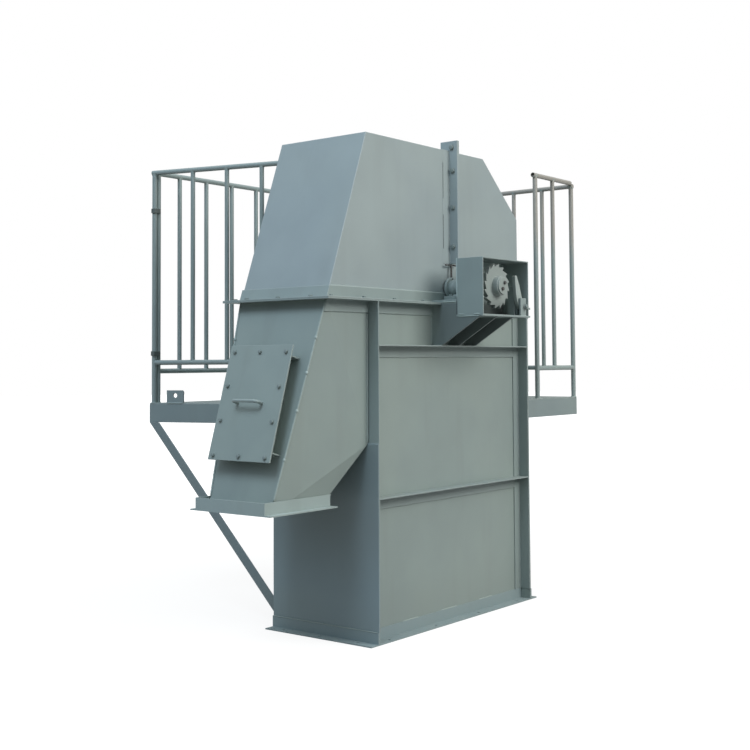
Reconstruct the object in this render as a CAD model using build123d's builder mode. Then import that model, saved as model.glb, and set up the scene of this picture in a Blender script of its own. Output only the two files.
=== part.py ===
from build123d import *
import os
from math import atan2, cos, hypot, radians, sin, tan

os.makedirs("parts", exist_ok=True)

# Bucket elevator head section. Origin at the centre of the casing, on the floor.
# The chute throws towards -X, the backstop faces -Y, the platform lies at +Y and +X.
# All sizes are in millimetres.

# Casing
casing_length = 1140.0
casing_width = 575.0
wall_recess = 55.0
sheet = 5.0
flange_height = 1368.0
stiffener_heights = (575.0, 1188.0)

# Rolled angles on the casing
angle_leg = 50.0
angle_t = 5.0
corner_flat_leg = 50.0
ring_rear_reach = 25.0

# Base flange bolt holes
base_hole_r = 7.0
base_end_hole_spacing = 400.0
base_side_hole_spacing = 320.0

# Hood
hood_overhang = 246.0
hood_rise = 685.0
hood_top_rear = 853.0
hood_chamfer_drop = 257.0
split_offset = 21.5
split_angle_t = 8.0
split_flat_leg = 62.0
split_stand_leg = 43.0
split_screw_gap = 4.0
split_roof_start = 186.0

# Discharge chute
chute_reach = 489.0
outlet_back = 213.0
outlet_z = 553.0
chute_taper = 68.5
chute_floor_z = 790.0
outlet_hole_r = 6.0
collar_side_gap = 15.0
collar_back_reach = 40.0

# Inspection door on the chute
door_width = 330.0
door_length = 460.0
door_t = 6.0
door_drop = 436.0
neck_height = 54.0
neck_inset = 10.0
neck_side_inset = 50.0
neck_end_inset = 38.0
neck_lip = 50.0
handle_width = 125.0
handle_rise = 34.0
handle_r = 5.0
handle_bend = 14.0
handle_drop = 8.0

# Head shaft, pulley and bearings
shaft_r = 30.0
shaft_rise = 72.0
running_fit = 0.05
shaft_hole_gap = 6.0
drive_r = 27.5
drive_length = 90.0
drive_chamfer = 2.0
pulley_r = 315.0
pulley_width = 350.0
pulley_shell = 6.0
pulley_disc_inset = 24.0
pulley_hub_r = 50.0
bearing_r = 37.0
bearing_disc_r = 48.0
bearing_disc_t = 12.0
bearing_length = 70.0
bearing_foot_length = 116.0
bearing_foot_t = 20.0
bearing_gap = 5.0
screw_r = 4.0
screw_rise = 65.0
screw_bar = 84.0
screw_bar_r = 3.5
screw_collar_r = 8.0
screw_collar_h = 6.0

# Bearing brackets
bracket_half = 130.0
bracket_reach = 78.0
bracket_plate_t = 10.0
gusset_t = 8.0

# Backstop
shelf_t = 8.0
shelf_drop = 122.0
box_depth = 137.0
box_left = 132.0
shelf_right = 243.0
box_right = 230.0
box_rise = 118.0
ratchet_r = 97.0
tooth_depth = 14.0
tooth_count = 16
tooth_land = 2.0
flank_angle = 11.5
wheel_t = 20.0
wheel_setback = 15.0
hub_r = 41.0
hub_proud = 26.0
hub_back = 42.0
end_plate_t = 6.0
end_plate_r = 36.0
pawl_x = 204.0
pawl_drop = 82.0
pawl_length = 143.0
pawl_lean = 21.6
pawl_eye_r = 14.0
pawl_nose_r = 3.0
pawl_t = 16.0
pin_r = 6.0
pin_head_r = 10.0
pin_head_t = 6.0
pawl_side_gap = 1.5
lug_t = 10.0
lug_half = 18.0
lug_over_pin = 18.0
front_lug_gap = 4.0
front_lug_t = 8.0
front_lug_left = 32.0
front_lug_right = 14.0
front_lug_height = 77.0
upright_x = 170.0
upright_width = 8.0
upright_depth = 34.0
upright_gap = 5.5
upright_height = 130.0

# Platform
deck_z = 934.0
deck_t = 5.0
channel_depth = 85.0
channel_flange = 50.0
channel_t = 5.0
platform_left_inset = 30.0
platform_end_skew = 15.0
back_wing_depth = 831.0
side_wing_width = 592.0
side_wing_near_inset = 73.0
brace_leg = 45.0
brace_t = 5.0
brace_foot_inset = 25.6
back_brace_right_inset = 45.0
side_brace_slope = 45.0
side_brace_inset = 85.0
lifting_lug_width = 92.0
lifting_lug_height = 60.0
lifting_lug_round = 10.0
lifting_lug_t = 8.0
lifting_lug_inset = 141.0
lifting_hole_r = 11.0
lifting_hole_z = 36.0

# Railing
rail_height = 1104.0
tube = 21.0
tube_wall = 2.0
bar_r = 9.0
bar_pitch = 175.0
low_rail_z = 150.0
end_low_rail_z = 190.0
end_bar_first = 212.0
end_bar_pitch = 184.0
end_bar_count = 3
back_bar_first = 134.0
near_panel_length = 381.0
near_rail_overrun = 10.0
post_gap = 2.0

# Places that follow from the sizes above
half_l = casing_length / 2
half_w = casing_width / 2
wall_y = half_w - wall_recess
inner_l = half_l - sheet
inner_y = wall_y - sheet
wall_top = flange_height - angle_t
hood_base = flange_height + angle_t
hood_height = flange_height + hood_rise
hood_chamfer_z = hood_height - hood_chamfer_drop
shaft_z = flange_height + shaft_rise
shelf_top = shaft_z - shelf_drop
box_top = shaft_z + box_rise
pawl_z = shaft_z - pawl_drop
split_bottom_z = shaft_z + bearing_r + screw_rise + screw_bar_r + split_screw_gap
leg_low = flange_height - angle_leg
split_x = split_offset
front_x = -half_l - hood_overhang
chute_run = chute_reach - hood_overhang
chute_drop = flange_height - outlet_z
chute_angle = atan2(chute_run, chute_drop)
outlet_front_x = -half_l - chute_reach
outlet_back_x = -half_l - outlet_back
outlet_y = wall_y - chute_taper
outlet_top = outlet_z + angle_t
floor_slope = (chute_floor_z - outlet_z) / outlet_back
hood_slope = hood_overhang / hood_rise
hood_hole_r = shaft_r + shaft_hole_gap
web_line = wall_y + angle_t
shaft_axis_plane = Plane.XZ.offset(casing_width)


def hood_block(out):
    """Solid filling the hood, grown by the given distance on every side."""
    depth = 2 * angle_leg
    foot_x = front_x - depth * hood_slope
    with BuildPart() as block:
        with BuildSketch(Plane.XZ):
            Polygon(
                (foot_x, flange_height - depth),
                (-half_l, hood_height),
                (hood_top_rear - half_l, hood_height),
                (half_l, hood_chamfer_z),
                (half_l, flange_height - depth),
                align=None,
            )
            if out:
                offset(amount=out, kind=Kind.INTERSECTION)
        extrude(amount=wall_y + out, both=True)
    return block.part


def chute_block(out):
    """Solid filling the chute, grown by the given distance, and run on past its open ends."""
    above = flange_height + 2 * angle_leg
    below = outlet_z - 2 * angle_leg
    inside = -half_l + 3 * angle_leg
    front_slope = chute_run / chute_drop
    with BuildPart() as block:
        with BuildSketch(Plane.XZ):
            Polygon(
                (front_x + (above - flange_height) * front_slope, above),
                (inside, above),
                (inside, chute_floor_z + (inside + half_l) * floor_slope),
                (outlet_back_x - (outlet_z - below) / floor_slope, below),
                (outlet_front_x - (outlet_z - below) * front_slope, below),
                align=None,
            )
            if out:
                offset(amount=out, kind=Kind.INTERSECTION)
        extrude(amount=wall_y + out, both=True)
        for side in (-1, 1):
            top = Vector(front_x, side * wall_y, flange_height)
            root = Vector(-half_l, side * wall_y, chute_floor_z)
            low_front = Vector(outlet_front_x, side * outlet_y, outlet_z)
            low_back = Vector(outlet_back_x, side * outlet_y, outlet_z)
            for first, second in ((top, low_front), (low_front, low_back)):
                normal = (first - root).cross(second - root).normalized()
                if normal.Y * side < 0:
                    normal = -normal
                face = Plane(origin=root + normal * out, z_dir=normal)
                split(bisect_by=face, keep=Keep.BOTTOM)
    return block.part


hood_outer = hood_block(0)
hood_inner = hood_block(-sheet)
hood_grown = hood_block(angle_t)
hood_split_grown = hood_block(split_angle_t)
hood_split_stand = hood_block(split_stand_leg)
chute_outer = chute_block(0)
chute_inner = chute_block(-sheet)
chute_grown = chute_block(angle_t)

# Base flange: an angle frame welded round the foot of the casing
with BuildPart() as base_flange:
    with BuildSketch(Plane.XY):
        Rectangle(casing_length + 2 * angle_leg, casing_width)
        Rectangle(2 * inner_l, 2 * inner_y, mode=Mode.SUBTRACT)
    extrude(amount=angle_t)
    with BuildSketch(Plane.XY.offset(angle_t)):
        with GridLocations(casing_length + angle_t, 0, 2, 1):
            Rectangle(angle_t, casing_width)
        with GridLocations(0, 2 * wall_y + angle_t, 1, 2):
            Rectangle(2 * inner_l, angle_t)
    extrude(amount=angle_leg - angle_t)
    end_row = casing_length + angle_leg + angle_t
    with BuildSketch(Plane.XY):
        with GridLocations(end_row, base_end_hole_spacing / 2, 2, 3):
            Circle(base_hole_r)
        with GridLocations(base_side_hole_spacing, casing_width - angle_leg + angle_t, 4, 2):
            Circle(base_hole_r)
    extrude(amount=angle_t, mode=Mode.SUBTRACT)
base_flange.part.label = "base_flange"
export_step(base_flange.part, "parts/base_flange.step")

# Wide walls, set back behind the edges of the narrow walls
with BuildPart() as wide_walls:
    with BuildSketch(Plane.XZ.offset(inner_y)):
        with Locations((0, (angle_t + wall_top) / 2)):
            Rectangle(2 * inner_l, wall_top - angle_t)
    extrude(amount=sheet)
    mirror(about=Plane.XZ)
wide_walls.part.label = "wide_walls"
export_step(wide_walls.part, "parts/wide_walls.step")

# Narrow wall under the chute, its top edge bevelled to the chute floor
with BuildPart() as wall_front:
    with BuildSketch(Plane.XZ):
        Polygon(
            (-half_l, angle_t),
            (-inner_l, angle_t),
            (-inner_l, chute_floor_z + sheet * floor_slope),
            (-half_l, chute_floor_z),
            align=None,
        )
    extrude(amount=half_w, both=True)
wall_front.part.label = "wall_front"
export_step(wall_front.part, "parts/wall_front.step")

with BuildPart() as wall_rear:
    with BuildSketch(Plane.YZ.offset(inner_l)):
        with Locations((0, (angle_t + wall_top) / 2)):
            Rectangle(casing_width, wall_top - angle_t)
    extrude(amount=sheet)
wall_rear.part.label = "wall_rear"
export_step(wall_rear.part, "parts/wall_rear.step")

# Corner angles: one leg flat on the wide wall, the other standing out at its edge
with BuildPart() as corner_angles:
    with BuildSketch(Plane.XY.offset(angle_leg)):
        with Locations((-inner_l, -wall_y)):
            Polygon(
                (0, 0),
                (corner_flat_leg, 0),
                (corner_flat_leg, -angle_t),
                (angle_t, -angle_t),
                (angle_t, -wall_recess),
                (0, -wall_recess),
                align=None,
            )
        mirror(about=Plane.YZ)
        mirror(about=Plane.XZ)
    extrude(amount=leg_low - angle_leg)
corner_angles.part.label = "corner_angles"
export_step(corner_angles.part, "parts/corner_angles.step")

# Horizontal stiffening angles between the corner angles, on both wide walls
stiffener_span = 2 * (inner_l - angle_t)
stiffener_flat_span = 2 * (inner_l - corner_flat_leg)
with BuildPart() as wall_stiffeners:
    for height in stiffener_heights:
        with BuildSketch(Plane.XY.offset(height - angle_t)):
            with GridLocations(0, 2 * half_w - angle_leg, 1, 2):
                Rectangle(stiffener_span, angle_leg)
            with GridLocations(0, 2 * wall_y + angle_t, 1, 2):
                Rectangle(stiffener_flat_span, angle_t)
        extrude(amount=angle_t)
        with BuildSketch(Plane.XY.offset(height - angle_leg)):
            with GridLocations(0, 2 * wall_y + angle_t, 1, 2):
                Rectangle(stiffener_flat_span, angle_t)
        extrude(amount=angle_leg - angle_t)
wall_stiffeners.part.label = "wall_stiffeners"
export_step(wall_stiffeners.part, "parts/wall_stiffeners.step")

# The two bolted flange rings between casing and hood share this outline
ring_front = front_x - angle_leg
ring_rear = half_l + ring_rear_reach
ring_mid = (ring_front + ring_rear) / 2
mouth_front = front_x + sheet
mouth_mid = (mouth_front + inner_l) / 2
door_out = Vector(-cos(chute_angle), 0, sin(chute_angle))
chute_face = Plane(origin=(front_x, 0, flange_height), z_dir=door_out)
with BuildPart() as casing_top_flange:
    with BuildSketch(Plane.XY.offset(leg_low)):
        with Locations(((front_x - half_l) / 2, 0)):
            Rectangle(half_l - angle_leg - front_x - half_l + 4 * angle_leg, 4 * half_w)
    extrude(amount=angle_leg - angle_t)
    add(chute_grown, mode=Mode.INTERSECT)
    add(chute_outer, mode=Mode.SUBTRACT)
    split(bisect_by=chute_face, keep=Keep.BOTTOM)
    with BuildSketch(Plane.YZ.offset(-inner_l)):
        with Locations((0, flange_height)):
            Rectangle(4 * half_w, 4 * angle_leg)
    extrude(amount=casing_length, mode=Mode.SUBTRACT)
    with BuildSketch(Plane.XY.offset(leg_low)):
        with GridLocations(0, 2 * wall_y + angle_t, 1, 2):
            Rectangle(2 * inner_l, angle_t)
        with Locations((half_l + angle_t / 2, 0)):
            Rectangle(angle_t, casing_width)
    extrude(amount=angle_leg - angle_t)
    with BuildSketch(Plane.XY.offset(wall_top)):
        with Locations((ring_mid, 0)):
            Rectangle(ring_rear - ring_front, casing_width)
        with Locations((mouth_mid, 0)):
            Rectangle(inner_l - mouth_front, 2 * inner_y, mode=Mode.SUBTRACT)
    extrude(amount=angle_t)
casing_top_flange.part.label = "casing_top_flange"
export_step(casing_top_flange.part, "parts/casing_top_flange.step")

with BuildPart() as hood_flange:
    with BuildSketch(Plane.XY.offset(hood_base)):
        with Locations((ring_mid, 0)):
            Rectangle(2 * (ring_rear - ring_front), 2 * casing_width)
    extrude(amount=angle_leg - angle_t)
    add(hood_grown, mode=Mode.INTERSECT)
    add(hood_outer, mode=Mode.SUBTRACT)
    with BuildSketch(Plane.XY.offset(flange_height)):
        with Locations((ring_mid, 0)):
            Rectangle(ring_rear - ring_front, casing_width)
        with Locations((mouth_mid, 0)):
            Rectangle(inner_l - mouth_front, 2 * inner_y, mode=Mode.SUBTRACT)
    extrude(amount=angle_t)
    with BuildSketch(shaft_axis_plane):
        with Locations((0, shaft_z)):
            Circle(hood_hole_r)
    extrude(amount=-4 * half_w, mode=Mode.SUBTRACT)
hood_flange.part.label = "hood_flange"
export_step(hood_flange.part, "parts/hood_flange.step")

# Hood: two welded halves that part at a bolted joint just behind the shaft
with BuildPart() as hood_shell:
    add(hood_outer)
    add(hood_inner, mode=Mode.SUBTRACT)
    split(bisect_by=Plane.XY.offset(hood_base), keep=Keep.TOP)
    with BuildSketch(shaft_axis_plane):
        with Locations((0, shaft_z)):
            Circle(hood_hole_r)
    extrude(amount=-4 * half_w, mode=Mode.SUBTRACT)

with BuildPart() as hood_front_half:
    add(hood_shell.part)
    split(bisect_by=Plane.YZ.offset(split_x), keep=Keep.BOTTOM)
hood_front_half.part.label = "hood_front_half"
export_step(hood_front_half.part, "parts/hood_front_half.step")

with BuildPart() as hood_rear_half:
    add(hood_shell.part)
    split(bisect_by=Plane.YZ.offset(split_x), keep=Keep.TOP)
hood_rear_half.part.label = "hood_rear_half"
export_step(hood_rear_half.part, "parts/hood_rear_half.step")

# Angles back to back along the joint, up both sides of the hood and over its top
joint_mid_z = split_bottom_z + hood_height
with BuildPart() as split_flat_legs:
    with BuildSketch(Plane.YZ.offset(split_x)):
        with Locations((0, joint_mid_z)):
            Rectangle(4 * half_w, 2 * hood_height)
    extrude(amount=-split_flat_leg)
    add(hood_split_grown, mode=Mode.INTERSECT)

with BuildPart() as split_flange_front:
    with BuildSketch(Plane.YZ.offset(split_x)):
        with Locations((0, joint_mid_z)):
            Rectangle(4 * half_w, 2 * hood_height)
    extrude(amount=-split_angle_t)
    add(hood_split_stand, mode=Mode.INTERSECT)
    with BuildSketch(Plane.YZ.offset(split_x)):
        with Locations((0, hood_height + split_stand_leg)):
            Rectangle(2 * split_roof_start, 2 * split_stand_leg)
    extrude(amount=-split_angle_t, mode=Mode.SUBTRACT)
    add(split_flat_legs.part)
    add(hood_outer, mode=Mode.SUBTRACT)
split_flange_front.part.label = "split_flange_front"
export_step(split_flange_front.part, "parts/split_flange_front.step")

with BuildPart() as split_flange_rear:
    add(split_flange_front.part.mirror(Plane.YZ.offset(split_x)))
split_flange_rear.part.label = "split_flange_rear"
export_step(split_flange_rear.part, "parts/split_flange_rear.step")

# Discharge chute: tapering sheets, its sides creased down to the narrower outlet
chute_clip_mid = (wall_top + outlet_top) / 2
chute_clip_height = wall_top - outlet_top
chute_clip_length = half_l + chute_reach
with BuildPart() as chute_clip:
    with BuildSketch(Plane.XZ):
        with Locations((-inner_l - chute_clip_length / 2, chute_clip_mid)):
            Rectangle(chute_clip_length, chute_clip_height)
    extrude(amount=half_w, both=True)

front_cos = cos(chute_angle)
front_skin = sheet / front_cos
front_slope = chute_run / chute_drop
low_cut = outlet_top - outlet_z
low_front_x = outlet_front_x + low_cut * front_slope
top_front_x = front_x - angle_t * front_slope
door_down = Vector(-sin(chute_angle), 0, -cos(chute_angle))
door_seat = Vector(front_x, 0, flange_height) + door_down * door_drop
neck_width = door_width - 2 * neck_side_inset
neck_length = door_length - 2 * neck_end_inset
lip_width = door_width - 2 * neck_inset
lip_length = door_length - 2 * neck_inset
hatch_width = lip_width - 2 * neck_lip
hatch_length = lip_length - 2 * neck_lip
seat_plane = Plane(origin=door_seat, x_dir=(0, -1, 0), z_dir=door_out)

with BuildPart() as chute_front:
    with BuildSketch(Plane.XZ):
        Polygon(
            (top_front_x, wall_top),
            (top_front_x + front_skin, wall_top),
            (low_front_x + front_skin, outlet_top),
            (low_front_x, outlet_top),
            align=None,
        )
    extrude(amount=wall_y, both=True)
    add(chute_outer, mode=Mode.INTERSECT)
    with BuildSketch(seat_plane.offset(sheet)):
        Rectangle(hatch_width, hatch_length)
    extrude(amount=-4 * sheet, mode=Mode.SUBTRACT)
chute_front.part.label = "chute_front"
export_step(chute_front.part, "parts/chute_front.step")

floor_skin = sheet * hypot(1, floor_slope)
low_back_x = outlet_back_x - low_cut / floor_slope
floor_top_z = chute_floor_z + sheet * floor_slope
with BuildPart() as chute_floor:
    with BuildSketch(Plane.XZ):
        Polygon(
            (-inner_l, floor_top_z),
            (-inner_l, floor_top_z + floor_skin),
            (low_back_x - (low_cut + floor_skin) / floor_slope + low_cut / floor_slope, outlet_top),
            (low_back_x + 2 * low_cut / floor_slope, outlet_top),
            align=None,
        )
    extrude(amount=wall_y, both=True)
    add(chute_outer, mode=Mode.INTERSECT)
chute_floor.part.label = "chute_floor"
export_step(chute_floor.part, "parts/chute_floor.step")

with BuildPart() as chute_sides:
    add(chute_outer)
    add(chute_inner, mode=Mode.SUBTRACT)
    add(chute_clip.part, mode=Mode.INTERSECT)
    with BuildSketch(Plane.XZ):
        Polygon(
            (top_front_x - angle_leg, wall_top + angle_leg),
            (top_front_x + front_skin + angle_leg * front_slope, wall_top + angle_leg),
            (low_front_x + front_skin - angle_leg * front_slope, outlet_top - angle_leg),
            (low_front_x - 2 * angle_leg, outlet_top - angle_leg),
            align=None,
        )
    extrude(amount=half_w, both=True, mode=Mode.SUBTRACT)
    add(chute_floor.part, mode=Mode.SUBTRACT)

chute_sides.part.label = "chute_sides"
export_step(chute_sides.part, "parts/chute_sides.step")

# Angle flange round the chute's outlet: its upright legs stand clear of the sides and the front
outlet_mid_x = (outlet_front_x + outlet_back_x) / 2
outlet_length = outlet_back_x - outlet_front_x
collar_front_x = outlet_front_x - angle_leg
collar_back_x = outlet_back_x + collar_back_reach
collar_mid_x = (collar_front_x + collar_back_x) / 2
collar_y = outlet_y + collar_side_gap
with BuildPart() as outlet_flange:
    with BuildSketch(Plane.XY.offset(outlet_top)):
        with Locations((collar_back_x, 0)):
            Rectangle(4 * angle_leg, 2 * collar_y)
    extrude(amount=angle_leg - angle_t)
    add(chute_grown, mode=Mode.INTERSECT)
    add(chute_outer, mode=Mode.SUBTRACT)
    with BuildSketch(Plane.XZ):
        with Locations((outlet_back_x - angle_leg, outlet_top)):
            Rectangle(2 * angle_leg, 4 * angle_leg)
    extrude(amount=casing_width, both=True, mode=Mode.SUBTRACT)
    with BuildSketch(Plane.XY.offset(outlet_top)):
        with Locations((collar_mid_x, 0)):
            with GridLocations(0, 2 * collar_y + angle_t, 1, 2):
                Rectangle(collar_back_x - collar_front_x, angle_t)
        with Locations((collar_front_x + angle_t / 2, 0)):
            Rectangle(angle_t, 2 * collar_y)
    extrude(amount=angle_leg - angle_t)
    with BuildSketch(Plane.XY.offset(outlet_z)):
        with Locations((outlet_mid_x, 0)):
            Rectangle(outlet_length + 2 * angle_leg, 2 * (outlet_y + angle_leg))
            Rectangle(outlet_length - 2 * floor_skin, 2 * (outlet_y - sheet), mode=Mode.SUBTRACT)
            with GridLocations(outlet_length + angle_leg, outlet_y, 2, 3):
                Circle(outlet_hole_r, mode=Mode.SUBTRACT)
    extrude(amount=angle_t)
outlet_flange.part.label = "outlet_flange"
export_step(outlet_flange.part, "parts/outlet_flange.step")

# Inspection door: a cover plate bolted on a neck that stands off the chute
with BuildPart() as door_neck:
    with BuildSketch(seat_plane):
        Rectangle(neck_width, neck_length)
        Rectangle(neck_width - 2 * sheet, neck_length - 2 * sheet, mode=Mode.SUBTRACT)
        with GridLocations(0, neck_length - sheet, 1, 2):
            Rectangle(lip_width, sheet)
    extrude(amount=neck_height)
    with BuildSketch(seat_plane.offset(neck_height - sheet)):
        Rectangle(lip_width, lip_length)
        Rectangle(hatch_width, hatch_length, mode=Mode.SUBTRACT)
    extrude(amount=sheet)
door_neck.part.label = "door_neck"
export_step(door_neck.part, "parts/door_neck.step")

with BuildPart() as inspection_door:
    with BuildSketch(seat_plane.offset(neck_height)):
        Rectangle(door_width, door_length)
    extrude(amount=door_t)
inspection_door.part.label = "inspection_door"
export_step(inspection_door.part, "parts/inspection_door.step")

# Bent rod handle on the cover plate
handle_base = neck_height + door_t
handle_origin = door_seat + door_out * handle_base + door_down * handle_drop
handle_plane = Plane(origin=handle_origin, x_dir=(0, -1, 0), z_dir=door_down)
with BuildPart() as door_handle:
    with BuildLine(handle_plane):
        FilletPolyline(
            (-handle_width / 2, 0),
            (-handle_width / 2, handle_rise),
            (handle_width / 2, handle_rise),
            (handle_width / 2, 0),
            radius=handle_bend,
        )
    with BuildSketch(Plane(origin=handle_plane.from_local_coords((-handle_width / 2, 0)),
                           z_dir=door_out)):
        Circle(handle_r)
    sweep()
door_handle.part.label = "door_handle"
export_step(door_handle.part, "parts/door_handle.step")

# Bearing brackets: a seat plate on three gussets that stand on the upper stiffener
upper_stiffener = stiffener_heights[1]
bracket_front = half_w + bracket_reach
seat_low = hood_base
box_front = bracket_front + box_depth
shelf_low = shelf_top - shelf_t
gusset_tip = box_front - wheel_setback
gusset_slope = (shelf_low - upper_stiffener) / (gusset_tip - half_w)
far_gusset_z = upper_stiffener + (bracket_front - half_w) * gusset_slope
with BuildPart() as bearing_brackets:
    for side, tip, tip_z in ((-1, gusset_tip, shelf_low), (1, bracket_front, far_gusset_z)):
        for gusset_x in (-bracket_half, -gusset_t / 2, bracket_half - gusset_t):
            with BuildSketch(Plane.YZ.offset(gusset_x)):
                Polygon(
                    (side * wall_y, upper_stiffener),
                    (side * half_w, upper_stiffener),
                    (side * tip, tip_z),
                    (side * bracket_front, tip_z),
                    (side * bracket_front, seat_low),
                    (side * half_w, seat_low),
                    (side * half_w, wall_top),
                    (side * web_line, wall_top),
                    (side * web_line, leg_low),
                    (side * wall_y, leg_low),
                    align=None,
                )
            extrude(amount=gusset_t)
    with BuildSketch(Plane.XY.offset(seat_low)):
        with GridLocations(0, bracket_front + web_line, 1, 2):
            Rectangle(2 * bracket_half, bracket_front - web_line)
    extrude(amount=bracket_plate_t)
bearing_brackets.part.label = "bearing_brackets"
export_step(bearing_brackets.part, "parts/bearing_brackets.step")

# Bearings: a round housing on a foot, with the shaft's running bore through it
bearing_start = wall_y + angle_t + bearing_gap
foot_low = seat_low + bracket_plate_t
with BuildPart() as bearings:
    with BuildSketch(Plane.XZ.offset(bearing_start)):
        with Locations((0, shaft_z)):
            Circle(bearing_r)
        with Locations((0, foot_low + bearing_foot_t / 2)):
            Rectangle(bearing_foot_length, bearing_foot_t)
        with Locations((0, (foot_low + shaft_z) / 2)):
            Rectangle(bearing_r, shaft_z - foot_low)
        with Locations((0, shaft_z)):
            Circle(shaft_r + running_fit, mode=Mode.SUBTRACT)
    extrude(amount=bearing_length)
    with BuildSketch(Plane.XZ.offset(bearing_start)):
        with Locations((0, shaft_z)):
            Circle(bearing_disc_r)
            Circle(shaft_r + running_fit, mode=Mode.SUBTRACT)
    extrude(amount=bearing_disc_t)
    mirror(about=Plane.XZ)
bearings.part.label = "bearings"
export_step(bearings.part, "parts/bearings.step")

# Screw-down greasers with a cross bar, one standing on each bearing
screw_y = bearing_start + bearing_disc_t + screw_collar_r
screw_foot = shaft_z + bearing_r
bar_z = screw_foot + screw_rise
with BuildPart() as grease_screws:
    with BuildSketch(Plane.XY.offset(screw_foot)):
        with Locations((0, -screw_y)):
            Circle(screw_collar_r)
    extrude(amount=screw_collar_h)
    with BuildSketch(Plane.XY.offset(screw_foot)):
        with Locations((0, -screw_y)):
            Circle(screw_r)
    extrude(amount=screw_rise)
    with BuildSketch(Plane.YZ.offset(-screw_bar / 2)):
        with Locations((-screw_y, bar_z)):
            Circle(screw_bar_r)
    extrude(amount=screw_bar)
    mirror(about=Plane.XZ)
grease_screws.part.label = "grease_screws"
export_step(grease_screws.part, "parts/grease_screws.step")

# Head shaft: through both bearings, with a bare end at the back for the drive
wheel_front = box_front - wheel_setback
hub_front = wheel_front + hub_proud
journal_end = bearing_start + bearing_length
with BuildPart() as head_shaft:
    with BuildSketch(Plane.XZ.offset(-journal_end)):
        with Locations((0, shaft_z)):
            Circle(shaft_r)
    extrude(amount=journal_end + hub_front)
    with BuildSketch(Plane.XZ.offset(-journal_end)):
        with Locations((0, shaft_z)):
            Circle(drive_r)
    extrude(amount=-drive_length)
    chamfer(head_shaft.faces().sort_by(Axis.Y)[-1].edges(), length=drive_chamfer)
head_shaft.part.label = "head_shaft"
export_step(head_shaft.part, "parts/head_shaft.step")

# Head pulley: a rolled rim on two discs and a hub
pulley_axis = Axis((0, 0, shaft_z), (0, 1, 0))
pulley_half = pulley_width / 2
disc_y = pulley_half - pulley_disc_inset
with BuildPart() as head_pulley:
    with BuildSketch(Plane.XY.offset(shaft_z)):
        with Locations((pulley_r - pulley_shell / 2, 0)):
            Rectangle(pulley_shell, pulley_width)
        with Locations(((shaft_r + running_fit + pulley_hub_r) / 2, 0)):
            Rectangle(pulley_hub_r - shaft_r - running_fit, 2 * disc_y)
        with Locations(((pulley_r + pulley_hub_r) / 2, 0)):
            with GridLocations(0, 2 * disc_y - pulley_shell, 1, 2):
                Rectangle(pulley_r - pulley_hub_r, pulley_shell)
    revolve(axis=pulley_axis)
head_pulley.part.label = "head_pulley"
export_step(head_pulley.part, "parts/head_pulley.step")

# Backstop: shelf, back plate and open-fronted guard round the ratchet wheel
box_mid = (box_right - box_left) / 2
box_width = box_right + box_left
with BuildPart() as backstop_shelf:
    with BuildSketch(Plane.XY.offset(shelf_low)):
        with Locations(((shelf_right - box_left) / 2, -(bracket_front + box_front) / 2)):
            Rectangle(shelf_right + box_left, box_depth)
    extrude(amount=shelf_t)
backstop_shelf.part.label = "backstop_shelf"
export_step(backstop_shelf.part, "parts/backstop_shelf.step")

with BuildPart() as backstop_back:
    with BuildSketch(Plane.XZ.offset(bracket_front)):
        with Locations((box_mid, (shelf_top + box_top) / 2)):
            Rectangle(box_width, box_top - shelf_top)
        with Locations((0, shaft_z)):
            Circle(hood_hole_r, mode=Mode.SUBTRACT)
    extrude(amount=sheet)
backstop_back.part.label = "backstop_back"
export_step(backstop_back.part, "parts/backstop_back.step")

with BuildPart() as backstop_guard:
    with BuildSketch(Plane.XZ.offset(bracket_front + sheet)):
        with Locations((box_mid, (shelf_top + box_top) / 2)):
            Rectangle(box_width, box_top - shelf_top)
        with Locations((box_mid, (shelf_top + box_top) / 2 - sheet)):
            Rectangle(box_width - 2 * sheet, box_top - shelf_top, mode=Mode.SUBTRACT)
    extrude(amount=box_depth - sheet)
backstop_guard.part.label = "backstop_guard"
export_step(backstop_guard.part, "parts/backstop_guard.step")

# Ratchet wheel: saw teeth cut so that the shaft can only turn towards the chute
tooth_root = ratchet_r - tooth_depth
tooth_pitch = radians(360 / tooth_count)
land = radians(tooth_land)
with BuildPart() as ratchet_wheel:
    with BuildSketch(Plane.XZ.offset(wheel_front - wheel_t)):
        with Locations((0, shaft_z)):
            Circle(tooth_root)
            with PolarLocations(0, tooth_count, start_angle=flank_angle):
                Polygon(
                    (tooth_root - tooth_depth, 0),
                    (ratchet_r, 0),
                    (ratchet_r * cos(land), ratchet_r * sin(land)),
                    (tooth_root * cos(tooth_pitch), tooth_root * sin(tooth_pitch)),
                    align=None,
                )
    extrude(amount=wheel_t)
    with BuildSketch(Plane.XZ.offset(wheel_front - wheel_t - hub_back)):
        with Locations((0, shaft_z)):
            Circle(hub_r)
    extrude(amount=hub_back + wheel_t + hub_proud)
    with BuildSketch(Plane.XZ.offset(wheel_front - wheel_t - hub_back)):
        with Locations((0, shaft_z)):
            Circle(shaft_r + running_fit)
    extrude(amount=hub_back + wheel_t + hub_proud, mode=Mode.SUBTRACT)
ratchet_wheel.part.label = "ratchet_wheel"
export_step(ratchet_wheel.part, "parts/ratchet_wheel.step")

with BuildPart() as hub_end_plate:
    with BuildSketch(Plane.XZ.offset(hub_front)):
        with Locations((0, shaft_z)):
            Circle(end_plate_r)
    extrude(amount=end_plate_t)
hub_end_plate.part.label = "hub_end_plate"
export_step(hub_end_plate.part, "parts/hub_end_plate.step")

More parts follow.
